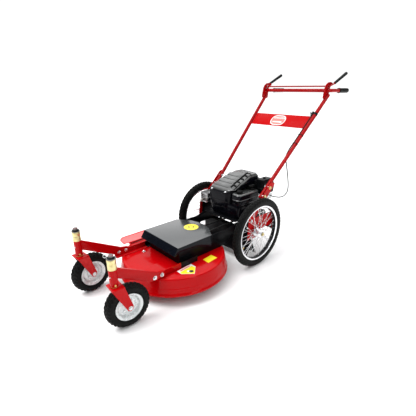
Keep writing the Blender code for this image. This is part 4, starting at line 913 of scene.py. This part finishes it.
# crown ribs on the flat top
for k in range(5):
    x0 = -0.0560 + 0.0270 * k
    details.append(prism("crown", [(x0, 0.1360), (x0 + 0.0090, 0.1360), (x0 + 0.0090, 0.2000), (x0, 0.2000)], 0.6216, 0.6244, "Z", SHELL, 0.0009))
# side duct: raised frame and grille blades at the near edge of the top
for k in range(5):
    y0 = -0.0260 + 0.0400 * k
    zt = top_at(y0 + 0.01)
    details.append(box("blade", (0.0560, y0, zt - 0.0180), (0.0900, y0 + 0.0070, zt + 0.0055), MOULD, 0.0010))
rail = [Vector((0.0570, -0.0450 + 0.0230 * k, top_at(-0.0450 + 0.0230 * k) + 0.0045)) for k in range(9)]
details.append(sweep("bar", rail, 0.0042, MOULD, 10))
rail = [Vector((0.0940, -0.0450 + 0.0230 * k, top_at(-0.0450 + 0.0230 * k) - 0.0070)) for k in range(9)]
details.append(sweep("bar", rail, 0.0040, MOULD, 10))
# bright screws on the shell's front corners
for x, y, z0 in ((-0.100, -0.0790, 0.5175), (0.040, -0.0790, 0.5175)):
    details += bolt((x, y - 0.004, z0), (0, -0.5, 0.85), 0.0052, 0.0036, BRIGHT_ZINC, 1.5)
# rope seat
details.append(box("seat", (0.0950, 0.0870, 0.5230), (0.1460, 0.1230, 0.5328), MOULD, 0.0022, 3))
# the shell's upward faces above z 0.52 take the lighter black: painted sheen
give(upward(merge("engine_shell", details), SHELL_LIT_TOP, 0.30, SHELL, 0.5200), "root", "blower_housing", slot="black_plastic")

# lower housing between the shell and the plate, and the intake box beside the cleaner
give(lofted("engine_skirt", [(-0.1260, 0.1480, -0.0620, 0.1980, 0.030, 0.3264), (-0.1340, 0.1560, -0.0700, 0.2050, 0.036, 0.3480), (-0.1400, 0.1620, -0.0770, 0.2100, 0.042, 0.3900),
                             (-0.1400, 0.1620, -0.0770, 0.2100, 0.042, 0.4220), (-0.1360, 0.1580, -0.0730, 0.2060, 0.040, 0.4320)], SHELL, 40), "root", slot="black_plastic")
give(lofted("intake_box", [(0.0700, 0.1260, 0.1620, 0.2520, 0.014, 0.4820), (0.0700, 0.1260, 0.1600, 0.2540, 0.016, 0.4860), (0.0700, 0.1260, 0.1600, 0.2540, 0.016, 0.5560),
                           (0.0700, 0.1240, 0.1640, 0.2460, 0.014, 0.5740), (0.0740, 0.1210, 0.1700, 0.2400, 0.010, 0.5790)], CLEANER, 40), "root", slot="black_plastic")

# fuel tank with its seam, filler neck and cap
tank = lofted("t", [(0.0900, 0.1620, -0.066, 0.141, 0.020, 0.4290), (0.0866, 0.1690, -0.071, 0.147, 0.026, 0.4330), (0.0860, 0.1755, -0.0775, 0.1515, 0.029, 0.4500),
                    (0.0860, 0.1760, -0.078, 0.152, 0.030, 0.4700), (0.0860, 0.1790, -0.081, 0.155, 0.033, 0.4730), (0.0860, 0.1790, -0.081, 0.155, 0.033, 0.4765),
                    (0.0860, 0.1760, -0.078, 0.152, 0.030, 0.4795), (0.0862, 0.1760, -0.078, 0.152, 0.030, 0.5030), (0.0872, 0.1745, -0.0765, 0.1505, 0.029, 0.5100),
                    (0.0890, 0.1700, -0.072, 0.147, 0.027, 0.5160), (0.0920, 0.1630, -0.066, 0.141, 0.022, 0.5186)], SHELL, 40)
tparts = [tank, lathe("neck", [(0.0150, 0.5150), (0.0252, 0.5150), (0.0250, 0.5186), (0.0235, 0.5192), (0.0150, 0.5192)], "Z", (0.132, -0.030, 0), MOULD, 40)]
for y0 in (0.045, 0.066, 0.087):
    tparts.append(box("pad", (0.106, y0, 0.5180), (0.158, y0 + 0.0080, 0.5204), SHELL, 0.0009))
# the tank's upward faces above z 0.47 take the lighter black: painted sheen
give(upward(merge("tank_shell", tparts), SHELL_LIT_TOP, 0.30, SHELL, 0.4700), "root", "fuel_tank", slot="black_plastic")


def knurl(t, j):
    return (0.0009 * (1 if math.sin(t * 24) > 0 else 0) if 2 <= j <= 5 else 0.0), 0.0


cap = lathe("tank_cap", [(0, 0.5404), (0.0130, 0.5404), (0.0180, 0.5396), (0.0200, 0.5376), (0.0204, 0.5330), (0.0204, 0.5235), (0.0196, 0.5196), (0, 0.5196)],
            "Z", (0.132, -0.030, 0), MOULD, 144, 30, knurl, closed=False)
bar_ = box("bar", (0.1180, -0.0335, 0.5400), (0.1460, -0.0265, 0.5432), MOULD, 0.0014, 3)
give(merge("tank_cap_finished", [cap, bar_]), "fuel_cap", "fuel_cap", slot="black_plastic")

# air cleaner, with ribs, clip and knob
ac = lofted("a", [(0.1210, 0.1930, 0.162, 0.298, 0.016, 0.4790), (0.1190, 0.1950, 0.160, 0.300, 0.018, 0.4815), (0.1190, 0.1968, 0.159, 0.3035, 0.018, 0.5180),
                  (0.1190, 0.1992, 0.157, 0.3060, 0.020, 0.5205), (0.1190, 0.1992, 0.157, 0.3060, 0.020, 0.5245), (0.1190, 0.1970, 0.159, 0.3035, 0.018, 0.5270),
                  (0.1190, 0.1975, 0.159, 0.3040, 0.018, 0.5450), (0.1205, 0.1925, 0.161, 0.2880, 0.017, 0.5780), (0.1235, 0.1880, 0.164, 0.2780, 0.014, 0.5875),
                  (0.1290, 0.1810, 0.170, 0.2700, 0.010, 0.5905)], CLEANER, 34)
acp = [ac]
for k in range(5):
    y0 = 0.178 + 0.0200 * k
    acp.append(box("r", (0.1965, y0, 0.4900), (0.1985, y0 + 0.0070, 0.5150), CLEANER, 0.0007))
acp.append(lathe("knob", [(0, 0.5990), (0.0090, 0.5990), (0.0110, 0.5975), (0.0112, 0.5920), (0.0090, 0.5895), (0, 0.5895)], "Z", (0.155, 0.2200, 0), MOULD, 36, closed=False))
for y0 in (0.200, 0.262):
    acp.append(box("clip", (0.1975, y0, 0.5120), (0.2000, y0 + 0.0100, 0.5330), BRIGHT_ZINC, 0.0008))
give(merge("cleaner_housing", acp), "root", "air_cleaner", slot="black_plastic")

# carburettor with bowl, bracket and linkages
cp = [box("body", (0.1320, 0.198, 0.4480), (0.1900, 0.262, 0.4795), CAST, 0.0030, 3),
      lathe("bowl", [(0, 0.4300), (0.0120, 0.4300), (0.0165, 0.4330), (0.0180, 0.4400), (0.0180, 0.4485), (0, 0.4485)], "Z", (0.1620, 0.2320, 0), CAST, 40, closed=False),
      prism("bracket", [(0.192, 0.4560), (0.268, 0.4420), (0.2690, 0.4760), (0.192, 0.4795)], 0.1985, 0.2015, "X", RIM_SILVER, 0.0008),
      prism("flange", [(0.1840, 0.4360), (0.2020, 0.4360), (0.2020, 0.4400), (0.1840, 0.4400)], 0.196, 0.266, "Y", RIM_SILVER, 0.0006),
      prism("arm", [(0.214, 0.4600), (0.228, 0.4570), (0.246, 0.4660), (0.242, 0.4700)], 0.2025, 0.2040, "X", BRIGHT_ZINC, 0.0003)]
cp += bolt((0.2015, 0.2050, 0.4680), (1, 0, 0), 0.0055, 0.0038, ZINC, 1.3)
cp += bolt((0.2015, 0.2560, 0.4620), (1, 0, 0), 0.0055, 0.0038, BRIGHT_ZINC, 1.3)
cp += bolt((0.1620, 0.2320, 0.4300), (0, 0, -1), 0.0055, 0.0036, BRASS, 1.3)
cp.append(sweep("spring", [Vector((0.2030 + 0.0028 * math.cos(k * 0.8), 0.2160 + 0.0003 * k, 0.4700 + 0.0028 * math.sin(k * 0.8))) for k in range(70)], 0.0006, BRIGHT_ZINC, 5))
give(merge("carburettor_finished", cp), "root", "carburettor", slot="cast_aluminium")
# intake elbow between shell and cleaner, and a fuel hose
elbow = [Vector((0.0850, 0.1850, 0.4700)), Vector((0.1050, 0.1900, 0.4690)), Vector((0.1200, 0.2100, 0.4670)), Vector((0.1340, 0.2300, 0.4650))]
give(sweep("intake_elbow", catmull(elbow, 0.004), 0.0130, MOULD, 18), "root", slot="black_plastic")
hose = [Vector((0.1000, 0.1450, 0.4380)), Vector((0.1250, 0.1600, 0.4250)), Vector((0.1560, 0.1850, 0.4180)), Vector((0.1640, 0.2100, 0.4260)), Vector((0.1620, 0.2160, 0.4400))]
give(sweep("fuel_hose", catmull(hose, 0.004), 0.0034, SHEATH, 12), "root", slot="black_plastic")
# ignition lead on the cylinder's side
lead = [Vector((-0.1480, 0.0600, 0.4180)), Vector((-0.1600, 0.0450, 0.4120)), Vector((-0.1620, 0.0350, 0.3950)), Vector((-0.1560, 0.0700, 0.3800)), Vector((-0.1500, 0.0850, 0.3800))]
give(sweep("ignition_lead", catmull(lead, 0.004), 0.0030, SHEATH, 12), "root", slot="black_plastic")

# muffler: pressed shell with louvres, guard and outlet; the louvre and guard openings are dark patches of painted shade
mf = [lofted("m", [(-0.2300, -0.1560, -0.083, 0.016, 0.010, 0.3855), (-0.2320, -0.1540, -0.085, 0.018, 0.013, 0.3900), (-0.2320, -0.1540, -0.085, 0.018, 0.013, 0.4200),
                   (-0.2345, -0.1515, -0.0875, 0.0205, 0.015, 0.4220), (-0.2345, -0.1515, -0.0875, 0.0205, 0.015, 0.4245), (-0.2320, -0.1540, -0.085, 0.018, 0.013, 0.4265),
                   (-0.2320, -0.1540, -0.085, 0.018, 0.013, 0.4550), (-0.2300, -0.1560, -0.083, 0.016, 0.010, 0.4600)], STAINLESS, 40)]
for k in range(6):
    y0 = -0.0740 + 0.0145 * k
    mf.append(box("lv", (-0.2350, y0, 0.4310), (-0.2318, y0 + 0.0050, 0.4520), DARK_FILM_AND_SHADE, 0.0007))
    mf.append(box("lt", (-0.2220, y0, 0.4598), (-0.1640, y0 + 0.0050, 0.4622), DARK_FILM_AND_SHADE, 0.0007))
for k in range(5):
    x0 = -0.2240 + 0.0135 * k
    for j in range(4):
        z1 = 0.3960 + 0.0150 * j
        mf.append(box("lf", (x0, -0.0870, z1), (x0 + 0.0085, -0.0845, z1 + 0.0070), DARK_FILM_AND_SHADE, 0.0006))
mf.append(sweep("out", catmull([Vector((-0.1950, -0.0840, 0.4050)), Vector((-0.1950, -0.0980, 0.4050)), Vector((-0.1960, -0.1080, 0.3980))], 0.003), 0.0100, DULL, 20))
mf += bolt((-0.1700, -0.0350, 0.4600), (0, 0, 1), 0.0060, 0.0040, BRIGHT_ZINC, 1.3)
give(merge("muffler_shell", mf), "root", "muffler", slot="muffler_metal")
# flywheel under the shell, on the crankshaft
fl = [lathe("fly", [(0.0120, 0.4490), (0.0640, 0.4490), (0.0660, 0.4505), (0.0660, 0.4660), (0.0640, 0.4675), (0.0120, 0.4675)], "Z", (0, CY, 0), CAST, 64)]
for k in range(16):
    t = 2 * math.pi * k / 16
    rot = Matrix.Rotation(t, 3, "Z")
    fl.append(prism("vane", [(0.030, -0.0012), (0.062, -0.0012), (0.062, 0.0012), (0.030, 0.0012)], 0.4670, 0.4850, "Z", CAST, 0, at=(0, CY, 0), rot=rot))
give(merge("flywheel", fl), "crankshaft", slot="cast_aluminium")

# starter grip, T shaped, and its rope
SX, SY, SZ = 0.130, 0.105, 0.5333
gp = [(0, 0.0238), (0.0080, 0.0238), (0.0115, 0.0225), (0.0138, 0.0180), (0.0138, 0.0135), (0.0112, 0.0070), (0.0080, 0.0020), (0.0052, 0.0002), (0, 0.0002)]
grip = lathe("starter_handle", gp, "Z", (0, 0, 0), MOULD, 48, 40, closed=False)
grip.data.transform(Matrix.Translation(-OFF))
grip.data.transform(Matrix.Diagonal((1.0, 2.2, 1.0, 1.0)))
grip.data.transform(Matrix.Translation(Vector((SX, SY, SZ)) + OFF))
give(grip, "starter_grip", "starter_grip", slot="black_plastic")
rope_pts = [Vector((SX, SY, SZ - 0.0080 + 0.0140 * k / 24)) for k in range(25)]
rope = sweep("starter_rope", rope_pts, 0.0020, WHITE_FILM, 10)
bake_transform(rope)

# ============================================================ handle
# the handle tubes, handlebar and bail take the darker red: painted shade
for side, s in SIDES:
    tube_ob = refine("handle_tube_" + side, RED_TUBE_SHADED, 0.0008, 2, sharp=40)
    low, ax = on_handle(s, 0.482) + OFF, Vector((s * along.x, along.y, along.z))
    for v in tube_ob.data.vertices:
        q = v.co - low
        r = q - ax * q.dot(ax)
        if 0.0118 < r.length < 0.0135:
            v.co += r.normalized() * 0.0020
refine("handle_panel", PANEL_RED, 0.0009, 2)
BARY, BARZ, GX = 0.766, 1.210, 0.310
bend = []
for k in range(11):
    a = math.radians(90 * k / 10)
    bend.append((GX - 0.022 + 0.022 * math.cos(a), BARY + 0.022 - 0.022 * math.sin(a), BARZ))
half = [(GX, 1.0450, BARZ), (GX, 0.9000, BARZ)] + bend
give(sweep("bent_handlebar", half + [(-x, y, z0) for x, y, z0 in reversed(half)], 0.0133, RED_TUBE_SHADED, 32), "root", "handlebar", slot="red_paint")
for side, s in SIDES:
    loop = []
    count = 46
    for k in range(count + 1):
        h = 0.9130 + (1.0440 - 0.9130) * k / count
        loop.append((0.0178 + (0.0004 if k % 2 else -0.0004), h))
    loop = [(0.0129, 0.9052), (0.0188, 0.9052), (0.0198, 0.9062), (0.0198, 0.9100), (0.0190, 0.9118)] + loop + [
        (0.0180, 1.0470), (0.0172, 1.0500), (0.0140, 1.0518), (0.0090, 1.0520), (0.0, 1.0520)]
    g = lathe("ribbed_grip_" + side, [(max(r, 0.0134) if 0.9 < h < 0.906 else r, h) for r, h in loop], Matrix(((1, 0, 0), (0, 0, 1), (0, -1, 0))), (s * GX, 0, BARZ), GRIP, 40, 60, closed=False)
    give(g, "root", "grip_" + side, slot="grip_rubber")
# control bail and its ribbed sleeves
BY, BZ = 0.768, 1.241
LX, LB, LT = 0.3085, (0.8260, 1.2625), (0.9990, 1.3378)
hb = [(LX, *LT), (LX, *LB), (LX - 0.0005, 0.8010, 1.2530), (LX - 0.0040, 0.7820, 1.2460), (LX - 0.0110, 0.7700, 1.2418), (LX - 0.0160, BY, BZ)]
bail_pts = catmull(hb, 0.004) + [Vector((x, BY, BZ)) for x in (0.20, 0.10, 0.0, -0.10, -0.20)] + [Vector((-p.x, p.y, p.z)) for p in reversed(catmull(hb, 0.004))]
give(sweep("bent_bail_rod", bail_pts, 0.0053, RED_TUBE_SHADED, 16), "control_bail", "control_bail", slot="red_paint")
d = (Vector((0, *LT)) - Vector((0, *LB))).normalized()
ln = (Vector((0, *LT)) - Vector((0, *LB))).length
for side, s in SIDES:
    loop = [(0.0055, 0.0020), (0.0092, 0.0020), (0.0100, 0.0028)]
    for k in range(60):
        h = 0.0050 + (ln - 0.0080) * k / 59
        loop.append((0.0102 + 0.0022 * k / 59 + (0.0003 if k % 2 else -0.0002), h))
    loop += [(0.0122, ln + 0.0010), (0.0096, ln + 0.0034), (0.0040, ln + 0.0040), (0, ln + 0.0040)]
    sl = lathe("ribbed_sleeve_" + side, loop, d.to_track_quat("Z", "X").to_matrix(), (s * LX, *LB), GRIP, 28, 60, closed=False)
    give(sl, "control_bail", "lever_sleeve_" + side, slot="grip_rubber")

# fittings on the handle: plugs, collars and end caps, then the cable clips
hw = []
for side, s in SIDES:
    top = on_handle(s, 1.178)
    ax = Vector((s * along.x, along.y, along.z))
    hw.append(lathe("plug", [(0, -0.002), (0.0110, -0.002), (0.0110, 0.0004), (0.0090, 0.0026), (0, 0.0034)], frame_of(ax), top, RED, 28, closed=False))
    # set collars either side of the bracket where the bail rod turns
    hw.append(lathe("collar", [(0.0050, -0.003), (0.0084, -0.003), (0.0088, -0.0022), (0.0088, 0.0022), (0.0084, 0.003), (0.0050, 0.003)], "X", (s * 0.2835, BY, BZ), BRIGHT_ZINC, 28))
    low = on_handle(s, 0.482)
    hw.append(lathe("cap", [(0, 0.002), (0.0112, 0.002), (0.0118, -0.0006), (0.0090, -0.0026), (0, -0.0032)], frame_of(ax), low, MOULD, 28, closed=False))
give(merge("handle_fittings", hw), "root", slot="red_paint")
collars = []
for z0 in (0.892, 0.835):
    p = on_handle(1, z0)
    ax = Vector((along.x, along.y, along.z))
    collars.append(lathe("band", [(0.0145, -0.0030), (0.0160, -0.0030), (0.0163, -0.0024), (0.0163, 0.0024), (0.0160, 0.0030), (0.0145, 0.0030)], frame_of(ax), p, MOULD, 36))
    q = Vector(beside(z0))
    collars.append(lathe("loop", [(0.0037, -0.0034), (0.0054, -0.0034), (0.0058, -0.0026), (0.0058, 0.0026), (0.0054, 0.0034), (0.0037, 0.0034)], frame_of(ax), q, MOULD, 28))
    collars.append(box("tie", (-0.0030, -0.0022, -0.0026), (0.0030, 0.0022, 0.0026), MOULD, 0.0006, rot=frame_of(ax), at=(p + q) / 2 + (q - p) * 0.19))
give(merge("cable_clips", collars), "root", slot="cable_sheath")

# throttle control
tbx = tb.x - 0.0127 - 0.0108
tilt = Matrix.Rotation(math.radians(45), 3, "X")
tp = [box("tbx", (-0.0080, -0.020, -0.013), (0.0080, 0.020, 0.0125), MOULD, 0.0028, 4, tilt, (tbx, tb.y, tb.z)),
      # dark patch for the lever slot: painted shade
      box("slot", (-0.0050, -0.015, 0.0120), (0.0010, 0.015, 0.0132), DARK_FILM_AND_SHADE, 0.0004, 2, tilt, (tbx, tb.y, tb.z))]
tp += bolt((tbx - 0.0079, tb.y - 0.0100, tb.z - 0.0100), (-1, 0, 0), 0.0026, 0.0018, BRIGHT_ZINC, 1.3)
ax = Vector((along.x, along.y, along.z))
tp.append(lathe("clamp", [(0.0145, -0.0090), (0.0161, -0.0090), (0.0165, -0.0080), (0.0165, 0.0080), (0.0161, 0.0090), (0.0145, 0.0090)], frame_of(ax), on_handle(1, 1.039), MOULD, 36))
give(merge("throttle_housing", tp), "root", "throttle_box", slot="black_plastic")
refine("throttle_lever", MOULD, 0.0009, 3, "throttle_lever")

# generic badge on the panel: a plain rounded shield with a ring of pips, no marks
mid = on_handle(1, 0.982)
badge = []


def on_panel(x, v, lift):
    return tilt @ Vector((x + 0.018, v, 0.0015 + lift)) + Vector((0, mid.y, mid.z)) + OFF


def patch(name, outline, lift, material):
    pts = [on_panel(x, v, lift) for x, v in outline]
    low = [on_panel(x, v, lift - 0.0006) for x, v in outline]
    n = len(pts)
    return make(name, pts + low, [list(range(n)), list(range(n, 2 * n))] + [(i, (i + 1) % n, n + (i + 1) % n, n + i) for i in range(n)], material, 30)


def rounded_patch(x0, x1, v0, v1, r):
    return superloop(x0, x1, v0, v1, r, 8)


badge.append(patch("b0", rounded_patch(-0.098, 0.040, -0.052, 0.048, 0.046), 0.0006, WHITE_FILM))
badge.append(patch("b1", rounded_patch(-0.090, 0.032, -0.044, 0.040, 0.038), 0.0009, PINK_FILM))
for k in range(9):
    x = -0.076 + 0.0118 * k
    badge.append(patch("b2", rounded_patch(x, x + 0.0062, 0.012, 0.030, 0.0029), 0.0012, WHITE_FILM))
badge.append(patch("b3", rounded_patch(-0.074, 0.016, -0.026, -0.014, 0.0055), 0.0012, WHITE_FILM))
give(merge("plain_badge", badge), "root", slot="red_paint")

# ============================================================ floor
verts = [(-60, -60, 0), (60, -60, 0), (60, 60, 0), (-60, 60, 0)]
floor = make("studio_floor", verts, [(0, 1, 2, 3)], surface("pale_floor", (0.93, 0.93, 0.93), 0.9, vary=0.01, scale=0.7, spec=0.05))
floor.location.z = -0.0006
